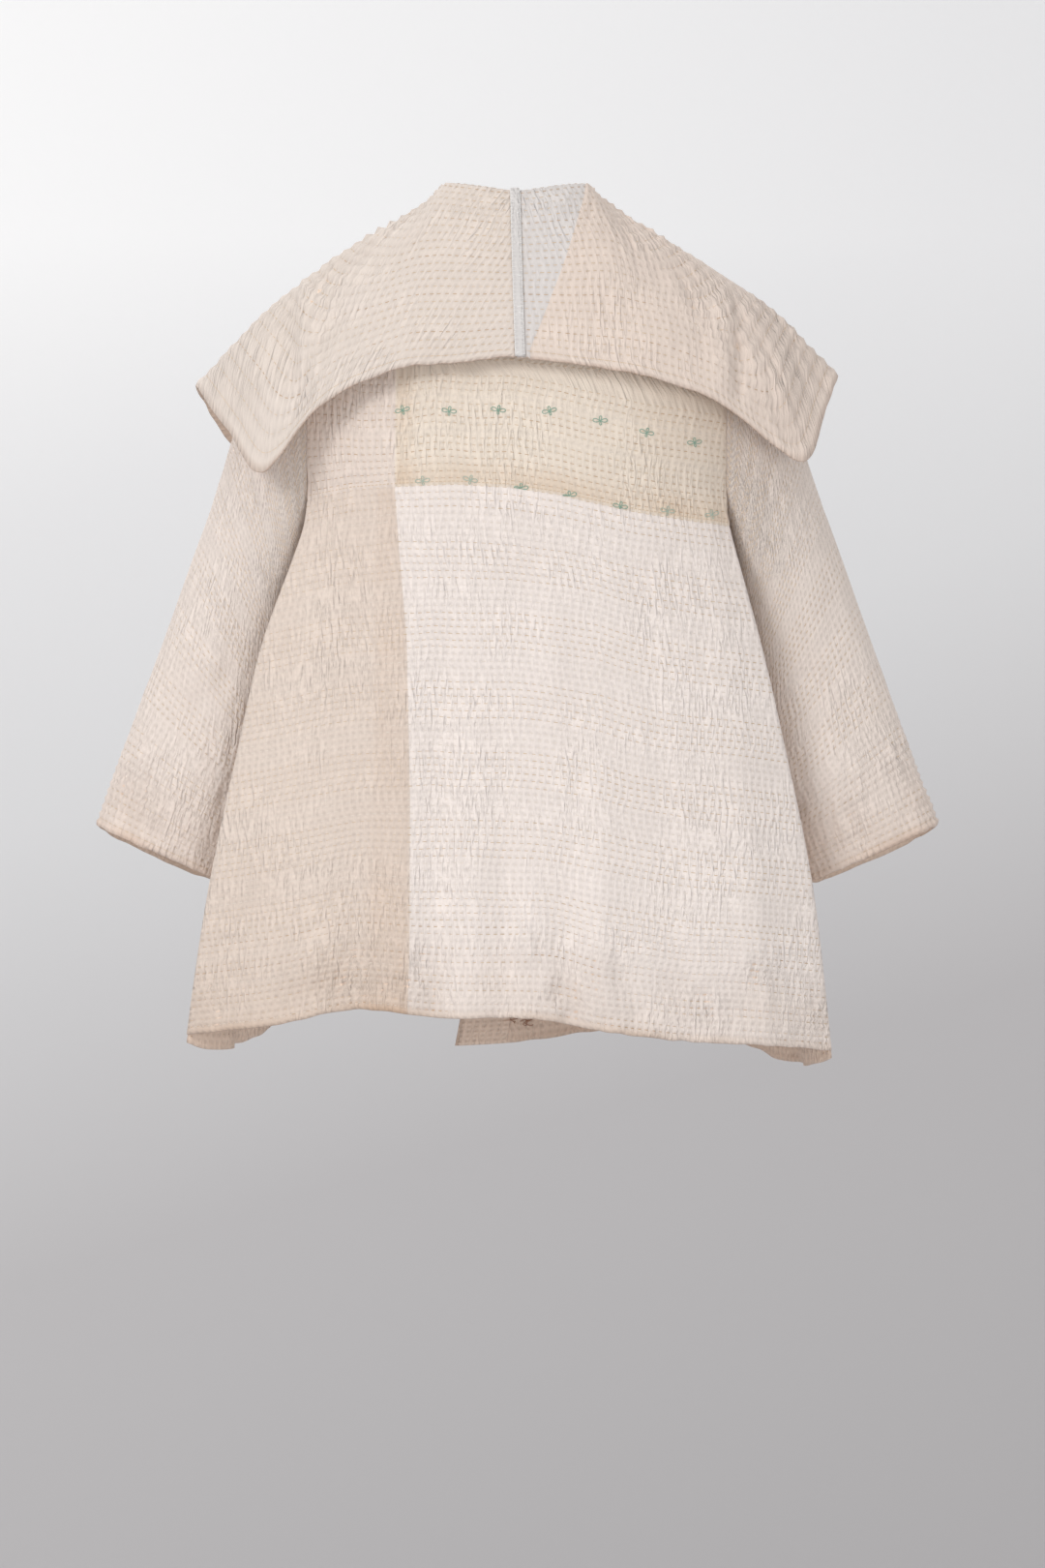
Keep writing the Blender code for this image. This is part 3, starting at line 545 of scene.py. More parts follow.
def make_shell(name, node, points, normals, lift, materials, patch, turn, cloth, stain=None,
               wall=WALL, inside=0.0, shift=0.0):
    """Thin closed cloth on a grid of points. Materials: patches, then the inside and the cut edge.

    Inside is extra thickness on the inner face, such as a turned-up hem. Shift is the rows'
    drift."""
    rows, columns = points.shape[:2]
    outer = points + normals * (wall / 2 + lift)[..., None]
    inner = points - normals * (wall / 2 - 0.3 * lift + inside)[..., None]
    index = np.arange(rows * columns).reshape(rows, columns)
    loop = np.concatenate((index[0, :-1], index[:-1, -1], index[-1, :0:-1], index[:0:-1, 0]))
    away = np.zeros_like(points)
    away[0] += unit(points[0] - points[1])
    away[-1] += unit(points[-1] - points[-2])
    away[:, 0] += unit(points[:, 0] - points[:, 1])
    away[:, -1] += unit(points[:, -1] - points[:, -2])
    flat = (rows * columns, 3)
    rim = ((outer + inner) / 2 + unit(away) * 0.0004).reshape(flat)[loop]
    quads = np.stack((index[:-1, :-1], index[:-1, 1:], index[1:, 1:], index[1:, :-1]), axis=2)
    quads = quads.reshape(-1, 4)
    after = np.roll(loop, -1)
    middle = 2 * flat[0] + np.arange(len(loop))
    middle_after = np.roll(middle, -1)
    rim_faces = [np.stack(corners, axis=1) for corners in (
        (after, loop, middle, middle_after),
        (middle_after, middle, loop + flat[0], after + flat[0]))]
    faces = np.concatenate((quads, quads[:, ::-1] + flat[0], *rim_faces))
    if turn < 0:
        faces = faces[:, ::-1]
    kinds = np.concatenate((patch.reshape(-1), np.full(len(quads), len(materials) - 2),
                            np.full(2 * len(loop), len(materials) - 1)))
    mesh = bpy.data.meshes.new(name)
    mesh.from_pydata(np.concatenate((outer.reshape(flat), inner.reshape(flat), rim)).tolist(), [],
                     faces.tolist())
    for material in materials:
        mesh.materials.append(material)
    mesh.polygons.foreach_set("material_index", kinds.astype(np.int32))
    shift = np.broadcast_to(np.reshape(shift, (-1, 1)), (rows, columns)).reshape(-1)
    cloth = cloth.reshape(-1, 2) + np.stack((shift, np.zeros(len(shift))), axis=1)
    cloth = np.concatenate((cloth, cloth, cloth[loop]))
    layer = mesh.uv_layers.new(name="cloth")
    layer.data.foreach_set("uv", cloth[faces.reshape(-1)].astype(np.float32).reshape(-1))
    marks = np.zeros(flat[0]) if stain is None else np.clip(stain, 0, 1).reshape(-1)
    for kind, values in (("stain", (marks, marks * 0.5, marks[loop])),
                         ("shift", (shift, shift, shift[loop]))):
        attribute = mesh.attributes.new(kind, "FLOAT", "POINT")
        attribute.data.foreach_set("value", np.concatenate(values).astype(np.float32))
    mesh.shade_smooth()
    return place_object(name, mesh, (node,)), outer


def thread(name, colour, rough=0.75):
    """Cotton sewing thread with a soft shine and a fine twist."""
    material, shader = new_material(name)
    shader.inputs["Roughness"].default_value = rough
    shader.inputs["Sheen Weight"].default_value = 0.2
    place = add_node(material, "TexCoord")
    fade = add_node(material, "TexNoise", Vector=place.outputs["Object"], Scale=55.0, Detail=2.0)
    deep = [value * 0.80 for value in linear(colour)[:3]] + [1.0]
    tone = add_node(material, "Mix", {"data_type": "RGBA"}, Factor=fade.outputs["Fac"],
                    i6=linear(colour), i7=deep)
    link(material, tone.outputs[2], shader, "Base Color")
    twist = add_node(material, "TexWave", Vector=place.outputs["Object"], Scale=400.0)
    bump = add_node(material, "Bump", Height=twist.outputs["Fac"], Strength=0.5, Distance=0.0001)
    link(material, bump.outputs["Normal"], shader, "Normal")
    return material


def sew(name, lines, materials, seed, width=0.0008, height=0.0004):
    """Stitches along lines. A line is its points, their normals, pitch, stitch length, start and
    thread."""

    def read(place, run, values):
        return np.stack([np.interp(place, run, values[:, axis]) for axis in range(3)], axis=1)

    chance = np.random.default_rng(seed)
    starts, ends, tops, kinds = [], [], [], []
    for points, normals, pitch, length, first, kind in lines:
        run = np.concatenate(((0.0,), np.cumsum(np.linalg.norm(np.diff(points, axis=0), axis=1))))
        at = np.arange(first, run[-1] - length, pitch)
        at = at + chance.uniform(-0.06, 0.06, len(at)) * pitch
        size = length * chance.uniform(0.82, 1.1, len(at))
        starts.append(read(at, run, points))
        ends.append(read(at + size, run, points))
        tops.append(read(at + size / 2, run, normals))
        kinds.append(np.full(len(at), kind))
    start, end, top = np.concatenate(starts), np.concatenate(ends), unit(np.concatenate(tops))
    kind = np.concatenate(kinds)
    aside = unit(np.cross(end - start, top)) * width / 2
    low = top * height * 0.3
    corners = np.stack((start - aside - low, start + aside - low,
                        end + aside - low, end - aside - low,
                        start + (end - start) * 0.2 + top * height,
                        start + (end - start) * 0.8 + top * height), axis=1)
    first = np.arange(len(start))[:, None] * 6
    sides = np.concatenate((first + (1, 2, 5, 4), first + (3, 0, 4, 5)))
    tips = np.concatenate((first + (0, 1, 4), first + (2, 3, 5)))
    mesh = bpy.data.meshes.new(name)
    mesh.from_pydata(corners.reshape(-1, 3).tolist(), [], sides.tolist() + tips.tolist())
    for material in materials:
        mesh.materials.append(material)
    mesh.polygons.foreach_set("material_index", np.tile(kind, 4).astype(np.int32))
    mesh.shade_smooth()
    return place_object(name, mesh)


def quilting_lines(outer, normals, start, seed, tone, edge_thread, edge_pitch=0.0034):
    """One line of running stitch on each even row, and a closer one along the free edge.

    Start is the distance from the side to the line that the stitches are counted from. Tone gives
    each row its thread."""
    chance = np.random.default_rng(seed)
    lines = []
    for row in range(2, outer.shape[0] - 1, 2):
        stray = chance.uniform(-0.1, 0.1) * STITCH_PITCH
        first = (start[row] - STITCH_LENGTH / 2 + stray) % STITCH_PITCH
        lines.append((outer[row], normals[row], STITCH_PITCH, STITCH_LENGTH, first, tone(row)))
    lines.append((outer[-3], normals[-3], edge_pitch, 0.0026, 0.002, edge_thread))
    return lines


white_patch = cotton("washed white cotton", "#efe5df", "#e8ddd6", "#cdb096")
ecru_patch = cotton("ecru cotton", "#ebdfd1", "#e3d5c6", "#d0b191")
pink_patch = cotton("pinkish cream cotton", "#eadcd2", "#e1d2c7", "#cdad94")
beige_patch = cotton("beige cotton", "#e4d6cb", "#dac9bc", "#c8a88d")
inside_cotton = cotton("lining side of the cotton", "#f3dfcf", "#e9d2c0", "#c09e85")
edge_cotton = cotton("turned cotton edge", "#dccbbf", "#cfb9aa", "#b3947c")
tan_thread = thread("tan quilting thread", "#cbac8c")
gold_thread = thread("golden quilting thread", "#dac2a6")
pale_thread = thread("cream quilting thread", "#ebdfd3")
QUILT_THREADS = (tan_thread, gold_thread, pale_thread)

BACK_ROWS = 237
BACK_COLUMNS = 169
LEVEL_ROW = 52            # from this row down, the rows run level with the seam
SEAM_ROW = 84
LEVEL_RISE = 0.104        # height of that row over the seam
SEAM_COLUMN = 118
SEAM_GROOVE = 0.0006      # depth of the furrow where two patches meet
SEAM_RIDGE = 0.0003       # height of the turning that lies beside it
ACROSS_SEAM = (
    (-0.210, -0.284), (-0.204, -0.275), (-0.171, -0.271), (-0.112, -0.262), (-0.061, -0.251),
    (-0.041, -0.246), (0.006, -0.239), (0.059, -0.236), (0.114, -0.238), (0.155, -0.241),
    (0.196, -0.249), (0.210, -0.252),
)
DOWN_SEAM = (
    (-0.80, 0.102), (-0.731, 0.103), (-0.658, 0.101), (-0.529, 0.101), (-0.384, 0.104),
    (-0.349, 0.107), (-0.293, 0.112), (-0.238, 0.115), (-0.129, 0.1145), (0.0, 0.114),
)
back_net = make_net(back_surface, 49, 61)


def crossing(values, places):
    """Where each line of values first passes zero, as a share."""
    past = values > 0
    step = np.maximum(past.argmax(axis=1), 1)
    line = np.arange(len(values))
    low, high = values[line, step - 1], values[line, step]
    share = low / (low - high)
    return places[step - 1] + share * (places[step] - places[step - 1])


trial = np.linspace(0, 1, 400)
trial_across, trial_down = np.meshgrid(trial, trial)
trial_points = spread(back_net, trial_across, trial_down)
seam_height = np.interp(trial_points[..., 0], *zip(*ACROSS_SEAM))
seam_down = crossing((seam_height - trial_points[..., 2]).T, trial)
level_down = crossing((seam_height + LEVEL_RISE - trial_points[..., 2]).T, trial)
seam_x = np.interp(trial_points[..., 2], *zip(*DOWN_SEAM))
seam_across = crossing(trial_points[..., 0] - seam_x, trial)

row_share, column_share = grid(BACK_ROWS, BACK_COLUMNS)


def bent(share, knots, values):
    """Share moved so that each knot lands on its value, evenly between them."""
    moved = share
    for knot, value, before, old in zip((*knots, 1), (*values, 1), (0, *knots), (0, *values)):
        between = old + (share - before) / (knot - before) * (value - old)
        moved = np.where(share > before, between, moved)
    return np.where(share > 0, moved, 0.0)


across, down = column_share, row_share
for _ in range(4):
    across = bent(column_share, (SEAM_COLUMN / (BACK_COLUMNS - 1),),
                  (np.interp(down, trial, seam_across),))
    down = bent(row_share, (LEVEL_ROW / (BACK_ROWS - 1), SEAM_ROW / (BACK_ROWS - 1)),
                (np.interp(across, trial, level_down), np.interp(across, trial, seam_down)))
wavy = (wander(down.shape, (12, 13), 5) * (0.0015 + 0.0012 * row_share ** 4)
        * np.sin(np.pi * column_share))
down = down + wavy * ease(row_share / 0.05) * ease((1 - row_share) / 0.05) * ease(
    np.abs(row_share - SEAM_ROW / (BACK_ROWS - 1)) / 0.04)
points = spread(back_net, across, down)
normals = face_out(back_net, across, down, 1)
normals[0] = unit(normals[0] * (1, 0, 1))
points[0, :, 1] += 0.0003
beside_arm = (points[..., 2] > ARM_SEAM_Z - 0.01) & ((column_share == 0) | (column_share == 1))
normals[beside_arm] = unit(normals[beside_arm] * (0, 1, 1))

_, _, from_hem, _, calm, shift, start, along = lay_out(points, normals, SEAM_COLUMN, (15, 7))
strength = 0.00022 + 0.00078 * ease((0.11 - from_hem) / 0.05)
strength += 0.00018 * (column_share > SEAM_COLUMN / BACK_COLUMNS) * ease((0.36 - from_hem) / 0.2)
lift = quilt(along, strength, 11) * calm
lift += border(from_hem, HEM_BORDER, BORDER_RISE)
row_gap = np.arange(BACK_ROWS)[:, None] - SEAM_ROW
column_gap = np.arange(BACK_COLUMNS)[None] - SEAM_COLUMN
lift += np.where(row_gap == 0, -SEAM_GROOVE, 0.0)
lift += np.where((row_gap > -3) & (row_gap < 0), 0.00035, 0.0)
lift += np.where(column_gap == 0, -SEAM_GROOVE, 0.0)
lift += np.where((column_gap > 0) & (column_gap < 3), SEAM_RIDGE, 0.0)
BACK_CREASES = (
    (0.164, -0.160, 0.150, -0.418, 0.0016, 0.0007), (0.150, -0.30, 0.175, -0.52, 0.012, -0.0016),
    (0.060, -0.26, 0.072, -0.60, 0.014, -0.0014), (-0.030, -0.30, -0.040, -0.62, 0.016, 0.0014),
    (-0.110, -0.28, -0.150, -0.60, 0.015, -0.0013), (-0.176, -0.20, -0.205, -0.46, 0.013, 0.0012),
    (0.020, -0.42, 0.004, -0.72, 0.010, -0.0014), (0.215, -0.48, 0.262, -0.72, 0.014, 0.0015),
    (-0.150, -0.19, -0.060, -0.21, 0.012, 0.0010), (0.02, -0.18, 0.10, -0.20, 0.012, -0.0009),
)
points += normals * 1.5 * crease(points, BACK_CREASES)[..., None]

patch = np.zeros((BACK_ROWS - 1, BACK_COLUMNS - 1), int)
patch[:SEAM_ROW, :SEAM_COLUMN] = 1
patch[:SEAM_ROW, SEAM_COLUMN:] = 2
patch[SEAM_ROW:, SEAM_COLUMN:] = 3
stain = 0.4 * ease((0.010 - from_hem) / 0.010) + 0.16 * ease((0.10 - from_hem) / 0.09)
stain += 0.30 * ease((10 + row_gap) / 8) * (row_gap < 0) * (column_gap < 0)
stain += 0.26 * ease((9 + column_gap) / 6) * (row_gap < 0) * (column_gap < 0)
stain += 0.16 * ease((12 - column_gap) / 4) * (row_gap > 0) * (column_gap > 0)
stain += 0.16 * np.clip(wander(points.shape, (9, 7), 25), 0, 1) * (row_gap < 0)
stain *= 0.8 + 0.4 * wander(points.shape, (20, 16), 21)
back, outer = make_shell("back_cloth", "back", points, normals, lift,
                         (white_patch, ecru_patch, pink_patch, beige_patch, inside_cotton,
                          edge_cotton), patch, 1, cloth_places(along), stain, shift=shift)


def back_tone(row):
    if row < SEAM_ROW:
        return (1, 1, 0, 1, 2)[row // 2 % 5] if row < SEAM_ROW - 10 else 0
    if row > BACK_ROWS - 30:
        return (1, 0, 1, 2)[row // 2 % 4]
    return 1 if row // 2 % 10 < 6 else 2


back_lines = quilting_lines(outer, normals, start, 31, back_tone, 2)
back_lines.append((outer[SEAM_ROW - 1], normals[SEAM_ROW - 1], 0.0040, 0.0030, 0.002, 1))
back_thread = sew("back_thread", back_lines, QUILT_THREADS, 41)


# Sprigs: small green four-lobed flowers embroidered in outline on the ecru patch of the back.
# Some of the lower row are worn faint or cut by the patch seam.
sage_thread = thread("sage green embroidery thread", "#93b5a2")
faded_thread = thread("faded green embroidery thread", "#bac8b9")
SPRIGS = (
    (0.108, -0.166, 0), (0.064, -0.167, 0), (0.0175, -0.166, 0), (-0.031, -0.167, 0),
    (-0.079, -0.176, 0), (-0.123, -0.187, 0), (-0.169, -0.196, 0), (0.089, -0.233, 1),
    (0.044, -0.232, 1), (-0.004, -0.240, 0), (-0.050, -0.247, 0), (-0.098, -0.257, 0),
    (-0.143, -0.261, 1), (-0.186, -0.264, 1),
)
flat_points = outer.reshape(-1, 3)
flat_normals = normals.reshape(-1, 3)
sprig_lines = []
for middle_x, middle_z, worn in SPRIGS:
    tilt = 0.25 * math.sin(40 * middle_x)
    for lobe_angle, reach in ((0.15, 0.0070), (1.65, 0.0050), (3.0, 0.0070), (4.6, 0.0040)):
        turn = np.linspace(-0.9, 0.9, 12)
        radius = reach * np.cos(turn / 0.9 * math.pi / 2) ** 0.6
        x = middle_x + radius * np.cos(lobe_angle + tilt + turn * 0.62)
        z = middle_z + radius * np.sin(lobe_angle + tilt + turn * 0.62)
        near = nearest(flat_points, x, z)
        base, facing = flat_points[near], flat_normals[near]
        rise = facing[:, 0] * (x - base[:, 0]) + facing[:, 2] * (z - base[:, 2])
        y = base[:, 1] - rise / facing[:, 1]
        below_seam = z < np.interp(x, *zip(*ACROSS_SEAM))
        line = np.stack((x, y + 0.0004, z), axis=1)[~below_seam]
        if len(line) > 3:
            sprig_lines.append((line, facing[~below_seam], 0.0013, 0.0014, 0.0, worn))
sprigs = sew("back_sprigs", sprig_lines, (sage_thread, faded_thread), 51,
             width=0.00075)


# Fronts: two quilted panels, lapped at the hem and turned back along their edges. The photo shows
# only their lower hems, so the rest follows the back in cloth, quilting and finish.
LAP_GAP = 0.0105          # the left front passes this far outside the right front
EDGE_LEVELS = (0.0, 0.06, 0.14, 0.28, -BREAK_Z, 0.60, 0.80)
EDGE_CURVES = {side: smooth_curve(EDGE_LEVELS, (NECK_X, 0.075, 0.062, 0.036, 0.014,
                                                (0.014 + end) / 2, end))
               for side, end in (("left", -0.022), ("right", -0.064))}
FRONT_SHARES = (0.0, 0.30, 0.52, 0.68, 0.80, 0.91, 1.0)
FRONT_SPREAD = (0.0, 0.42, 0.74, 0.91, 0.99, 1.0)      # below the armholes
CHEST_SPREAD = (0.0, 0.45, 0.82, 1.0, 1.0, 1.0)        # beside them, squarer
FRONT_DEPTH = (1.0, 1.0, 0.90, 0.66, 0.33, -0.08)


def front_section(side, share, down):
    """Point of a front on the +X side: share runs from the front edge, 0, to the side seam, 1."""
    sign = 1 if side == "left" else -1
    guess = 0.02 + 0.18 * share
    for _ in range(5):
        height, fullness = descend(sign * guess, down, side)
        level = min(height, -CROWN)
        edge_x = EDGE_CURVES[side](-height)
        side_x = body("side_x", level)
        front_y = body("front_y", level)
        square = ease((level + 0.30) / 0.11)
        parts = [low + (high - low) * square for low, high in zip(FRONT_SPREAD, CHEST_SPREAD)]
        across = [edge_x + (side_x - edge_x) * part for part in parts]
        across.append(body(side + "_edge_x", level))
        guess = smooth_curve(FRONT_SHARES, across)(share)
    depth = [-front_y * part for part in FRONT_DEPTH] + [body("edge_y", level)]
    y = smooth_curve(FRONT_SHARES, depth)(share)
    lap = ease((0.17 - guess) / 0.08) * ease((BREAK_Z - height) / 0.05)
    if side == "left":
        y -= LAP_GAP * lap
    y -= fold_depth(side, sign * guess, height) * ease((0.9 - share) / 0.2)
    return np.array((guess, y * fullness, height))


def front_share_at(side, depth, down):
    """The share of a front's section that lies at this depth near the arm."""
    shares = np.linspace(0.5, 1.0, 41)
    depths = [front_section(side, share, down)[1] for share in shares]
    return float(np.interp(depth, depths, shares))


UPPER_ROWS = 0.20         # share of a front's rows beside the upper armhole
ARM_ROWS = 0.42           # share of them down to the top of the side seam
UNDERARM_ROWS = UPPER_ROWS + (ARM_ROWS - UPPER_ROWS) * math.pi / 2 / (math.pi - ARM_SEAM_ANGLE)
UNDERARM_DIP = 0.080      # how far the rows sag to pass below the armhole


def underarm(v):
    if v < ARM_ROWS:
        return max((v - UNDERARM_ROWS) / (ARM_ROWS - UNDERARM_ROWS), 0.0)
    return 1 - ease((v - ARM_ROWS) / 0.26)


def front_outline(side):
    """Function that gives the share and the level of a front's outer edge at each row."""
    sign = 1 if side == "left" else -1
    hem_z = HEM_CURVES[side](sign * 0.30)
    chest_z = -SHOULDER_DROP - CROWN
    chest_share = front_share_at(side, -ARM_HALF_DEPTH, 1.0)
    samples = np.linspace(math.pi, 2 * math.pi - ARM_SEAM_ANGLE, 9)
    downs = []
    shares = []
    for angle in samples:
        height = ARM_MIDDLE_Z - (ARM_HALF_HEIGHT + WALL * 0.8) * abs(math.sin(angle)) ** ARM_POWER
        down = 1 + (chest_z - height) / (chest_z - hem_z)
        downs.append(down)
        depth = math.copysign(abs(math.cos(angle)) ** ARM_POWER, math.cos(angle))
        depth *= ARM_HALF_DEPTH + WALL * 0.8
        shares.append(front_share_at(side, depth, down))
    shares[-1] = 1.0
    seam_down = downs[-1]

    def outline(v):
        if v <= UPPER_ROWS:
            return chest_share, v / UPPER_ROWS
        if v <= ARM_ROWS:
            place = (v - UPPER_ROWS) / (ARM_ROWS - UPPER_ROWS) * (len(samples) - 1)
            return (float(np.interp(place, range(len(samples)), shares)),
                    float(np.interp(place, range(len(samples)), downs)))
        return 1.0, seam_down + (2 - seam_down) * (v - ARM_ROWS) / (1 - ARM_ROWS)

    return outline


def front_surface(side):
    outline = front_outline(side)
    edge_curve = smooth_curve((0.0, UPPER_ROWS, ARM_ROWS, 1.0), (0.0, 0.92, 1.32, 2.0))
    sign = 1 if side == "left" else -1

    def surface(u, v):
        end_share, end_down = outline(v)
        edge_down = edge_curve(v)
        down = edge_down + (end_down - edge_down) * u ** 1.6
        down += UNDERARM_DIP * underarm(v) * ease((u - 0.5) / 0.35) * ease((1 - u) / 0.06)
        point = front_section(side, u * end_share, down)
        point[0] *= sign
        return point

    return surface

FRONT_ROWS = 237
FRONT_COLUMNS = 97
HEM_TURN = 0.0145         # width of the hem that is turned up inside
FRONT_CREASES = (
    (0.150, -0.30, 0.175, -0.60, 0.014, -0.0015),
    (0.100, -0.42, 0.120, -0.72, 0.012, 0.0013),
    (0.060, -0.46, 0.055, -0.74, 0.010, -0.0012),
    (0.200, -0.36, 0.240, -0.70, 0.014, 0.0014),
    (0.232, -0.70, 0.238, -0.82, 0.0055, 0.0026),
    (0.250, -0.69, 0.256, -0.82, 0.0060, -0.0028),
    (0.268, -0.70, 0.274, -0.82, 0.0055, 0.0028),
    (0.284, -0.69, 0.291, -0.82, 0.0060, -0.0024),
)
front_shells = {}
for side, sign in (("left", 1), ("right", -1)):
    net = make_net(front_surface(side), 41, 91)
    down, across = grid(FRONT_ROWS, FRONT_COLUMNS)
    down = down + (0.0014 * wander(down.shape, (9, 6), 61 + sign)
                   * np.sin(np.pi * across) * np.sin(np.pi * down))
    points = spread(net, across, down)
    normals = face_out(net, across, down, -sign)
    sideways = ease((across - 0.84) / 0.06) * ease((down - UNDERARM_ROWS + 0.05) / 0.03) * ease(
        (ARM_ROWS + 0.045 - down) / 0.03)
    normals = unit(normals * (1 - sideways[..., None])
                   + sideways[..., None] * np.array((sign, 0.0, 0.0)))
    normals[0] = unit(normals[0] * (1, 0, 1))
    beside_arm = (across > 0.999) & (down <= UPPER_ROWS)
    normals[beside_arm] = unit(normals[beside_arm] * (0, 1, 1))
    points[0, :, 1] -= 0.0003
    seam_edge = ease((across - 0.955) / 0.045) * ease((down - ARM_ROWS + 0.02) / 0.02)
    points[..., 1] -= WALL * seam_edge
    points[..., 0] -= sign * 0.4 * WALL * seam_edge
    arm = (down <= ARM_ROWS) & (across > 0.8)
    room = SHOULDER_X - np.abs(normals[..., 0]) * WALL / 2 - 0.0002
    points[..., 0] = np.where(arm, sign * np.minimum(sign * points[..., 0], room), points[..., 0])
    _, _, from_hem, from_side, calm, shift, start, along = lay_out(
        points, normals, FRONT_COLUMNS // 3, (17 + sign, 23 + sign))
    strength = 0.00026 + 0.00070 * ease((0.11 - from_hem) / 0.05)
    lift = quilt(along, strength, 63 + sign) * (calm * (1 - sideways))
    lift += border(from_hem, HEM_BORDER, BORDER_RISE)
    points += normals * crease(points, FRONT_CREASES, -1, sign)[..., None]
    patch = np.zeros((FRONT_ROWS - 1, FRONT_COLUMNS - 1), int)
    patch_row = 128 if side == "left" else 150
    patch[:patch_row] = 1
    lift[patch_row] -= SEAM_GROOVE
    lift[patch_row - 2:patch_row] += SEAM_RIDGE
    stain = 0.5 * ease((0.012 - from_hem) / 0.012) + 0.12 * ease((0.09 - from_hem) / 0.09)
    stain *= 0.8 + 0.4 * wander(points.shape, (20, 12), 65 + sign)
    cloths = (beige_patch, white_patch) if side == "left" else (pink_patch, beige_patch)
    turned_up = np.where((from_hem < HEM_TURN) & (from_side > 0.01), 0.0007, 0.0)
    piece, outer = make_shell("front_%s_cloth" % side, "front_" + side, points,
                              normals, lift, (*cloths, inside_cotton, edge_cotton), patch, -sign,
                              cloth_places(along), stain, inside=turned_up, shift=shift)
    front_shells[side] = (net, outer, normals)
    front_lines = quilting_lines(outer, normals, start, 71 + sign,
                                 lambda row: (1, 1, 0, 1, 2)[row // 2 % 5], 2)
    for row in range(FRONT_ROWS - 41, FRONT_ROWS - 1, 2):
        first = (start[row] + STITCH_PITCH / 2) % STITCH_PITCH
        front_lines.append((points[row] - normals[row] * 0.0013, -normals[row], STITCH_PITCH,
                            0.0018, first, 0))
    stitches = sew("front_%s_thread" % side, front_lines, QUILT_THREADS, 81 + sign)


# Sleeves: one quilted tube each, sewn under the arm, with a stitched turn-up at the open cuff.
# They hang a little forward and crease softly inside the elbow.
# One row for each ring: outer_x, outer_z, inner_x, inner_z, middle_y and half_depth.
SLEEVE_ROWS = (
    (0.2000, -0.045, 0.2000, -0.2700, 0.000, 0.0700),
    (0.2460, -0.112, 0.2110, -0.3250, -0.005, 0.0640),
    (0.2920, -0.250, 0.2290, -0.4100, -0.012, 0.0520),
    (0.3480, -0.405, 0.2510, -0.5100, -0.020, 0.0440),
    (0.4060, -0.562, 0.2790, -0.6180, -0.028, 0.0390),
)
CUFF_FRONT_DROP = 0.009   # the front of a cuff hangs lower than its back

def sleeve_surface(side):
    sign = 1 if side == "left" else -1
    rings = smooth_curve(np.linspace(0, 1, len(SLEEVE_ROWS)), SLEEVE_ROWS)

    def surface(u, v):
        angle = 2 * math.pi * u
        outer_x, outer_z, inner_x, inner_z, middle_y, half_depth = rings(v)
        across, along = math.sin(angle), math.cos(angle)
        if along < 0:
            power = 1 + (ARM_POWER - 1) * (1 - v) ** 2
            across = math.copysign(abs(across) ** power, across)
            along = -abs(along) ** power
        lift = (1 + along) / 2
        x = inner_x + (outer_x - inner_x) * lift
        z = inner_z + (outer_z - inner_z) * lift
        y = middle_y + half_depth * across
        front = max(-math.sin(angle), 0.0)
        z -= CUFF_FRONT_DROP * front * v ** 4
        crease = 0.004 * math.sin(3 * angle + 9 * v) * math.sin(math.pi * v) * v
        y += crease * math.sin(angle)
        return np.array((sign * (x + SEAM_GAP), y, z))

    return surface

CUFF_BORDER = 0.0072
SLEEVE_GRID_ROWS = 171
SLEEVE_GRID_COLUMNS = 121
SLEEVE_CREASES = (
    (0.236, -0.22, 0.262, -0.34, 0.012, -0.0020),
    (0.275, -0.30, 0.300, -0.46, 0.012, 0.0016),
    (0.262, -0.40, 0.330, -0.47, 0.010, -0.0018),
    (0.300, -0.50, 0.345, -0.56, 0.012, 0.0014),
)
sleeve_white = cotton("creamy sleeve cotton", "#ebdfd7", "#e3d5cb", "#cdae97")
for side, sign in (("left", 1), ("right", -1)):
    net = make_net(sleeve_surface(side), 49, 41)
    down, across = grid(SLEEVE_GRID_ROWS, SLEEVE_GRID_COLUMNS, left=0.5, right=1.5)
    down = down + 0.0016 * wander(down.shape, (8, 6), 91 + sign) * np.sin(np.pi * down)
    points = spread(net, across, down, ring=True)
    normals = face_out(net, across, down, -sign, ring=True)
    normals[0] = unit(normals[0] * (0, 1, 1))
    _, _, from_cuff, _, calm, shift, start, along = lay_out(
        points, normals, SLEEVE_GRID_COLUMNS // 2, (19 + sign, 27 + sign))
    strength = 0.00032 + 0.00050 * ease((0.15 - from_cuff) / 0.10)
    lift = quilt(along, strength, 93 + sign) * calm
    lift += border(from_cuff, CUFF_BORDER, 0.0002)
    folds = calm * sum(crease(points, SLEEVE_CREASES, facing, sign) for facing in (1, -1))
    points += normals * folds[..., None]
    stain = 0.45 * ease((0.012 - from_cuff) / 0.012) + 0.18 * ease((0.10 - from_cuff) / 0.10)
    stain *= 0.8 + 0.4 * wander(points.shape, (14, 12), 95 + sign)
    patch = np.zeros((SLEEVE_GRID_ROWS - 1, SLEEVE_GRID_COLUMNS - 1), int)
    piece, outer = make_shell("sleeve_%s_cloth" % side, "sleeve_" + side, points,
                              normals, lift, (sleeve_white, inside_cotton, edge_cotton), patch,
                              -sign, cloth_places(along), stain, shift=shift)
    sleeve_lines = quilting_lines(outer, normals, start, 97 + sign,
                                  lambda row: 1 if row // 2 % 8 < 5 else 2, 1)
    stitches = sew("sleeve_%s_thread" % side, sleeve_lines, QUILT_THREADS,
                   101 + sign)


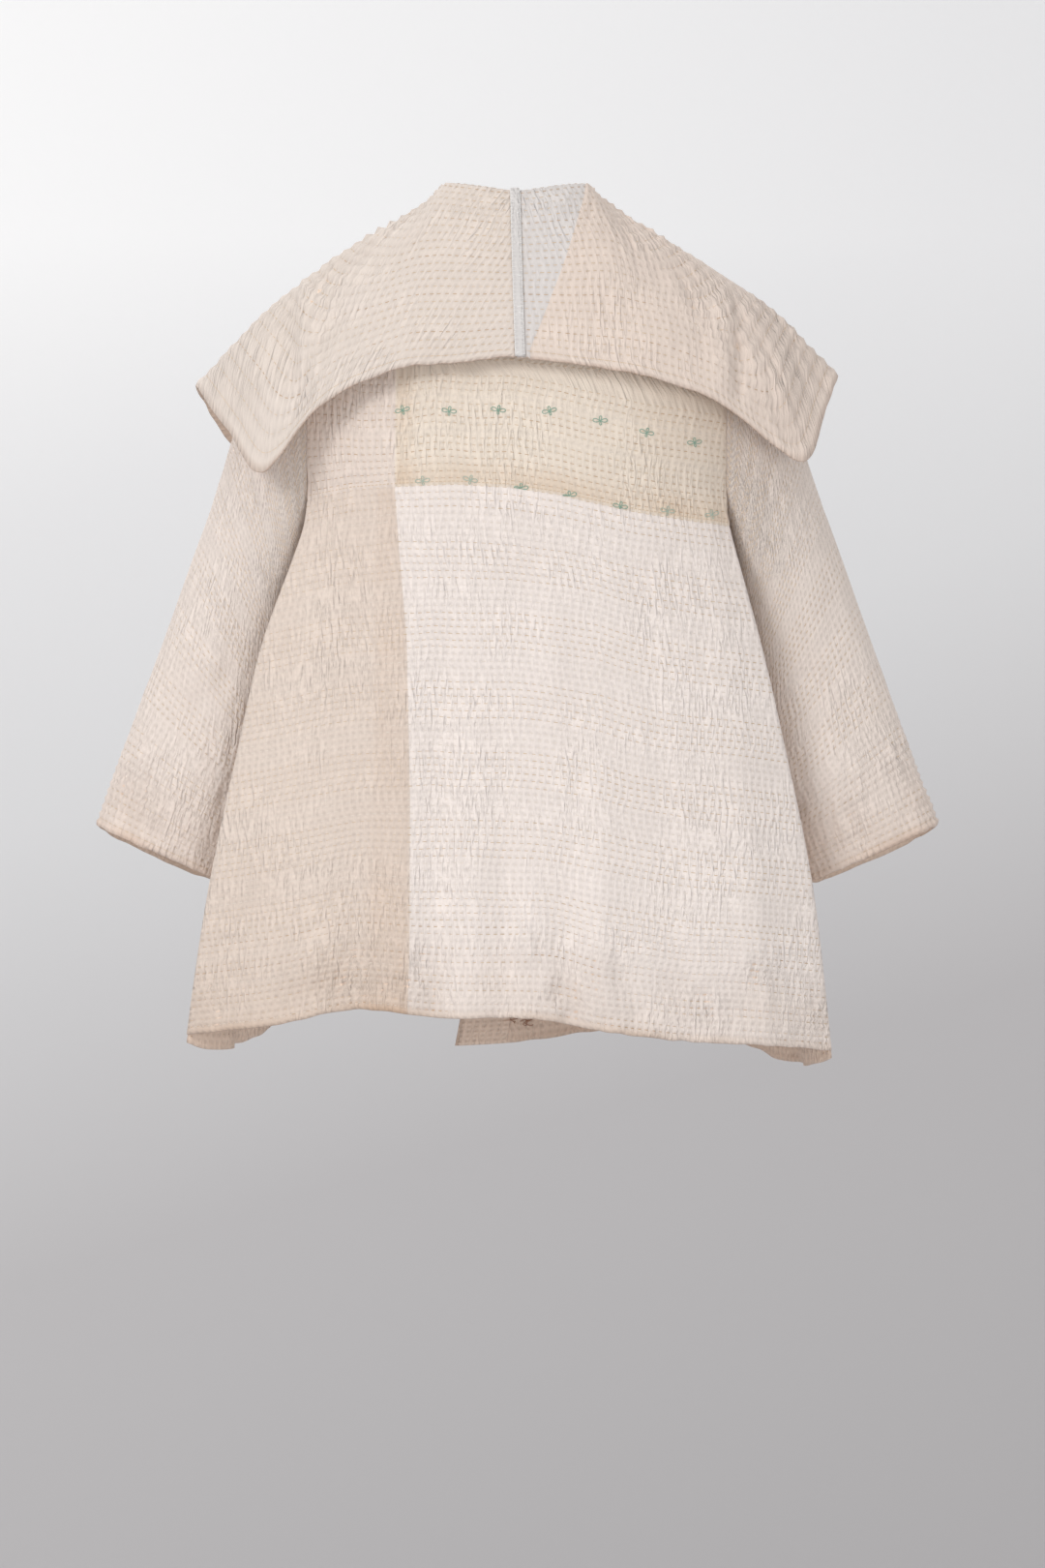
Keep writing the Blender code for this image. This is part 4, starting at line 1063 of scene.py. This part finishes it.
# Collar: two wide quilted strips that stand up at the neck, roll over and fall on the shoulders.
# Each wing breaks into a soft fold over the shoulder. The right half has a pale wedge let in.
# One row for each section of the collar, from the centre back round to the foot of the V.
# Each section climbs from the neckline to the roll, turns over it and falls to the free edge.
COLLAR_COLUMNS = ("seam_at", "roll_x", "roll_y", "roll_z", "fall_x", "fall_y", "fall_z",
                  "left_edge_x", "right_edge_x", "edge_y", "left_edge_z", "right_edge_z", "bulge")
COLLAR_ROWS = (
    (0.0, 0.0, 0.062, 0.045, 0.0, 0.101, -0.035, 0.0, 0.0, 0.128, -0.116, -0.117, 0.0),
    (0.3, 0.034, 0.058, 0.05, 0.046, 0.1, -0.034, 0.06, 0.06, 0.129, -0.1215, -0.124, 0.0),
    (0.6, 0.062, 0.044, 0.0535, 0.092, 0.094, -0.034, 0.118, 0.124, 0.127, -0.129, -0.135, 0.002),
    (0.8, 0.069, 0.024, 0.052, 0.138, 0.082, -0.044, 0.188, 0.195, 0.12, -0.164, -0.161, 0.006),
    (0.95, 0.071, 0.008, 0.051, 0.17, 0.06, -0.044, 0.242, 0.27, 0.106, -0.224, -0.214, 0.014),
    (1.0, 0.071, 0.001, 0.05, 0.186, 0.032, -0.032, 0.274, 0.292, 0.062, -0.185, -0.17, 0.014),
    (1.05, 0.071, -0.008, 0.049, 0.19, 0.0, -0.028, 0.308, 0.309, 0.006, -0.14, -0.128, 0.009),
    (1.2, 0.07, -0.03, 0.042, 0.184, -0.042, -0.04, 0.288, 0.29, -0.062, -0.178, -0.17, 0.014),
    (1.38, 0.068, -0.072, 0.002, 0.156, -0.094, -0.082, 0.24, 0.242, -0.106, -0.24, -0.236, 0.01),
    (1.56, 0.062, -0.114, -0.085, 0.128, -0.128, -0.17, 0.176, 0.178, -0.124, -0.302, -0.302, 0.004),
    (1.78, 0.042, -0.138, -0.242, 0.086, -0.146, -0.296, 0.116, 0.116, -0.147, -0.364, -0.364, 0.0),
    (1.98, 0.02, -0.146, -0.398, 0.034, -0.151, -0.41, 0.05, 0.05, -0.152, -0.424, -0.424, 0.0),
)
ROLL_RADIUS = 0.0065

def collar_seam(side, seam_at):
    """Point on the neckline, 0 centre back, 1 neck point, 2 foot of the V, moved off its panel."""
    sign = 1 if side == "left" else -1
    if seam_at <= 1.0:
        across = sign * math.sin(seam_at * math.pi / 2) * NECK_X / SHOULDER_X
        point = back_section(across, back_neck_down(across * SHOULDER_X))
    else:
        point = front_section(side, 0.0, NECKLINE_DOWN(seam_at))
    point[0] = abs(point[0])
    past_neck_point = min(max((seam_at - 1) / 0.4, 0.0), 1.0)
    rise = 0.035 * (1 - past_neck_point)
    inward = np.array((0.0, point[1] * past_neck_point, point[2] + rise)) - point
    return point + inward / np.linalg.norm(inward) * (WALL * 1.2 - WALL * 0.3 * past_neck_point)


NECKLINE_DOWN = smooth_curve((1.0, 1.38, 1.56, 2.0), (0.0, 0.62, 1.0, 1.48))


def collar_net(side, columns, rows):
    sign = 1 if side == "left" else -1
    net = []
    for row in COLLAR_ROWS:
        value = dict(zip(COLLAR_COLUMNS, row))
        roll = np.array((value["roll_x"], value["roll_y"], value["roll_z"]))
        fall = np.array((value["fall_x"], value["fall_y"], value["fall_z"]))
        edge = np.array((value[side + "_edge_x"], value["edge_y"], value[side + "_edge_z"]))
        outward = edge - roll
        outward[2] = 0.0
        outward /= np.linalg.norm(outward)
        stand = roll - collar_seam(side, value["seam_at"])
        upward = stand - outward * stand.dot(outward)
        upward /= np.linalg.norm(upward)
        radius = min(ROLL_RADIUS, 0.4 * np.linalg.norm(stand))
        inside = roll - outward * radius - upward * radius
        outside = roll + outward * radius - upward * radius
        drape = (fall + edge) / 2 + np.array((0, 0, value["bulge"]))
        net.append(((value["seam_at"], 0, 0), inside, roll, outside, fall, drape, edge))
    net = np.array(net)
    mirrored = net[1:2] * np.array((-1, 1, 1))
    net = np.concatenate((mirrored, net))
    steps = np.linalg.norm(np.diff(net[:, 4], axis=0), axis=1) + 0.02
    places = np.concatenate(((0.0,), np.cumsum(steps)))
    places = (places - places[1]) / (places[-1] - places[1])
    sections = smooth_curve(places, net)
    threads = {}

    def section_at(u):
        if u not in threads:
            section = sections(u)
            seam = collar_seam(side, max(section[0][0], 0.0))
            section[0] = (seam + section[1]) / 2
            threads[u] = np.concatenate((seam[None], section))
        return threads[u]

    rise = np.linalg.norm(np.diff(section_at(0.0), axis=0), axis=1)
    levels = np.concatenate(((0.0,), np.cumsum(rise))) / rise.sum()
    net = np.array([[smooth_curve(levels, section_at(u))(v) for u in np.linspace(0, 1, columns)]
                    for v in np.linspace(0, 1, rows)])
    net[..., 0] = sign * (np.maximum(net[..., 0], 0.0) + SEAM_GAP / 2)
    return net


COLLAR_GRID_ROWS = 69
COLLAR_GRID_COLUMNS = 289
WEDGE_COLUMN = 22
ZERO_COLUMN = 60          # the stitches of each row are counted from here
TURN_WIDTH = 0.006        # width of the border along the free edge
WEDGE_LINE = (
    (-0.117, -0.0129), (-0.1075, -0.0129), (-0.0856, -0.022), (-0.038, -0.0405), (-0.019, -0.047),
    (-0.001, -0.0525), (0.041, -0.0644), (0.06, -0.066),
)
collar_cream = cotton("cream collar cotton", "#e2d6cd", "#dacdc2", "#c1a18a")
collar_peach = cotton("peach beige collar cotton", "#e4d5ca", "#dbcabe", "#c3a18a")
collar_grey = cotton("pale grey collar cotton", "#dcd6d3", "#d4cdc9", "#bfb0a4")
COLLAR_CORNERS = {"left": (0.2420, -0.2245), "right": (-0.2680, -0.2140)}
LEFT_WING = (
    (0.159, -0.100, 0.062, -0.045, 0.016, -0.0034), (0.200, -0.020, 0.197, -0.150, 0.012, 0.0055),
    (0.222, -0.035, 0.212, -0.175, 0.012, -0.0055), (0.120, -0.060, 0.060, -0.110, 0.018, 0.0018),
    (0.250, -0.090, 0.262, -0.180, 0.012, 0.0026), (0.100, -0.020, 0.020, -0.070, 0.012, -0.0016),
    (0.165, 0.010, 0.130, -0.040, 0.010, -0.0016), (0.150, -0.110, 0.180, -0.160, 0.010, 0.0016),
)
RIGHT_WING = (
    (-0.212, -0.050, -0.209, -0.175, 0.006, -0.0040),
    (-0.196, -0.050, -0.192, -0.160, 0.012, 0.0034),
    (-0.150, -0.030, -0.060, -0.100, 0.016, -0.0018),
    (-0.105, -0.010, -0.060, -0.060, 0.014, 0.0016),
    (-0.245, -0.100, -0.262, -0.180, 0.010, 0.0018),
    (-0.160, -0.090, -0.100, -0.120, 0.014, 0.0014),
)
for side, sign in (("left", 1), ("right", -1)):
    net = collar_net(side, 97, 81)
    down, across = grid(COLLAR_GRID_ROWS, COLLAR_GRID_COLUMNS)
    if side == "right":
        trial_points = spread(net, *np.meshgrid(trial, np.linspace(0, 1, 200)))
        passed = np.interp(trial_points[..., 2], *zip(*WEDGE_LINE)) - trial_points[..., 0]
        wedge_at = np.interp(down, np.linspace(0, 1, 200), crossing(passed, trial))
        across = bent(across, (WEDGE_COLUMN / (COLLAR_GRID_COLUMNS - 1),), (wedge_at,))
    down = down + (0.005 * wander(down.shape, (3, 16), 111 + sign)
                   * np.sin(np.pi * down) * ease(across / 0.05))
    points = spread(net, across, down)
    normals = face_out(net, across, down, sign)
    normals[:, 0] = unit(normals[:, 0] * (0, 1, 1))
    cloth_across, _, from_edge, _, calm, shift, start, along = lay_out(
        points, normals, ZERO_COLUMN, (21 + sign, 33 + sign), pressed=0.007, waves=0.0009)
    corner_x, corner_z = COLLAR_CORNERS[side]
    reach = np.hypot(points[-1, :, 0] - corner_x, points[-1, :, 2] - corner_z)
    reach = reach + (points[-1, :, 1] < 0)
    corner = reach.argmin()
    pull = np.array((corner_x - points[-1, corner, 0], 0.0, corner_z - points[-1, corner, 2]))
    share = np.clip(1 - np.abs(cloth_across - cloth_across[-1, corner]) / 0.045, 0, 1)
    points += pull * (share * ease(1 - from_edge / 0.08))[..., None]
    calm *= ease((cloth_across - 0.006) / 0.008)
    strength = 0.00038 + 0.00050 * ease((across - 0.16) / 0.1)
    lift = quilt(along, strength, 113 + sign) * calm
    lift += border(from_edge, TURN_WIDTH, 0.0001)
    folds = crease(points, LEFT_WING if sign > 0 else RIGHT_WING) * calm
    points += normals * folds[..., None]
    patch = np.zeros((COLLAR_GRID_ROWS - 1, COLLAR_GRID_COLUMNS - 1), int)
    if side == "right":
        patch[:, :WEDGE_COLUMN] = 1
        lift[:, WEDGE_COLUMN] -= 0.0004
    stain = 0.35 * ease((0.004 - from_edge) / 0.003)
    stain *= 0.8 + 0.4 * wander(points.shape, (8, 24), 115 + sign)
    cloths = (collar_cream,) if side == "left" else (collar_peach, collar_grey)
    piece, outer = make_shell("collar_%s_cloth" % side, "collar_" + side, points,
                              normals, lift, (*cloths, inside_cotton, edge_cotton), patch, sign,
                              cloth_places(along), stain, shift=shift)
    lines = quilting_lines(outer, normals, start, 117 + sign,
                           lambda row: (0, 1, 1, 1, 1)[row // 2 % 5], 1, edge_pitch=0.0036)
    stitches = sew("collar_%s_thread" % side, lines, QUILT_THREADS, 121 + sign)


# Centre back strip: a narrow white overlocked edge, sewn down over the collar's centre seam.
# Its looper thread shows as close zigzags.
TRIM_WALL = 0.0012        # the single turned layers: this strip and the facings
STRIP_WIDTH = 0.0086
STRIP_ROWS = 97
STRIP_COLUMNS = 5
ZIGZAG_STEP = 0.0019
ZIGZAG_REACH = 0.0031     # to each side of the strip's middle
binding_net = collar_net("left", 97, 81)
strip_down, strip_across = grid(STRIP_ROWS, STRIP_COLUMNS, top=0.2)
strip_cloth = cotton("white overlocked edge", "#dcd8d6", "#d3cecb", "#c3b9b0")
points = spread(binding_net, np.zeros_like(strip_down), strip_down)
points[..., 0] = (strip_across - 0.5) * STRIP_WIDTH + 0.0026 - 0.0058 * strip_down ** 1.4
normals = unit(face_out(binding_net, np.full_like(strip_down, 0.004), strip_down, 1) * (0, 1, 1))
points += normals * 0.0024
lift = np.where((strip_across > 0.1) & (strip_across < 0.9), 0.0003, 0.0)
patch = np.zeros((STRIP_ROWS - 1, STRIP_COLUMNS - 1), int)
strip, outer = make_shell("centre_back_strip", "collar_centre_binding", points,
                          normals, lift, (strip_cloth, strip_cloth, strip_cloth), patch, 1,
                          cloth_places(lengths(points)[0]), wall=TRIM_WALL)
run = lengths(points)[1][:, 2]
steps = np.arange(0.001, run[-1] - 0.001, ZIGZAG_STEP)
zigzag = np.stack([np.interp(steps, run, outer[:, 2, axis]) for axis in range(3)], axis=1)
zigzag[:, 0] += np.where(np.arange(len(steps)) % 2, ZIGZAG_REACH, -ZIGZAG_REACH)
facing = np.stack([np.interp(steps, run, normals[:, 2, axis]) for axis in range(3)], axis=1)
white_thread = thread("white overlock thread", "#f4f2f0", 0.6)
segments = [(zigzag[k:k + 2], facing[k:k + 2], 1.0, 0.0062, 0.0, 0) for k in range(len(steps) - 1)]
edges = [(outer[:, column], normals[:, column], 0.0022, 0.0020, 0.0, 0) for column in (0, 4)]
overlock = sew("centre_back_zigzag", segments + edges, (white_thread,), 131)


# Facings: the strip turned back inside each front edge, the darker inner face of the cloth.
# Loose brown threads gather at the corner of the right one.
FACING_ROWS = 121
FACING_COLUMNS = 15
FACING_TOP = ARM_ROWS + (1 - ARM_ROWS) * 6 / 16     # the row where the facings start
for side, sign in (("left", 1), ("right", -1)):
    net = front_shells[side][0]
    down, across = grid(FACING_ROWS, FACING_COLUMNS, top=FACING_TOP)
    across = 0.006 + across * 0.1
    points = spread(net, across, down)
    normals = face_out(net, across, down, -sign)
    points -= normals * 0.0022
    lift = 0.0002 * wander(points.shape, (40, 6), 141 + sign)
    patch = np.zeros((FACING_ROWS - 1, FACING_COLUMNS - 1), int)
    piece, _ = make_shell("facing_%s_cloth" % side, "facing_" + side, points,
                          normals, lift, (inside_cotton, inside_cotton, edge_cotton), patch, -sign,
                          cloth_places(lengths(points)[0]), wall=TRIM_WALL)


# Loose threads: ends of brown quilting thread, gathered inside the right front beside its facing.
brown_thread = thread("brown quilting thread", "#bb8d74")
net, front_outer, front_normals = front_shells["right"]
chance = np.random.default_rng(151)
flat_points = (front_outer - front_normals * 0.0034).reshape(-1, 3)
flat_normals = -front_normals.reshape(-1, 3)
loose_ends = []
for _ in range(11):
    turns = chance.uniform(-0.5, 0.5) + np.cumsum(chance.normal(0, 0.5, 13))
    x = chance.uniform(-0.028, 0.004) + np.cumsum(np.cos(turns)) * 0.0016
    z = chance.uniform(-0.760, -0.752) + np.cumsum(np.sin(turns)) * 0.0008
    near = nearest(flat_points, x, z)
    line = np.stack((x, flat_points[near, 1] + chance.uniform(0.0, 0.0006), z), axis=1)
    loose_ends.append((line, flat_normals[near], 0.0011, 0.0013, 0.0, 0))
sew("loose_threads", loose_ends, (brown_thread,), 153, width=0.0007, height=0.0006)
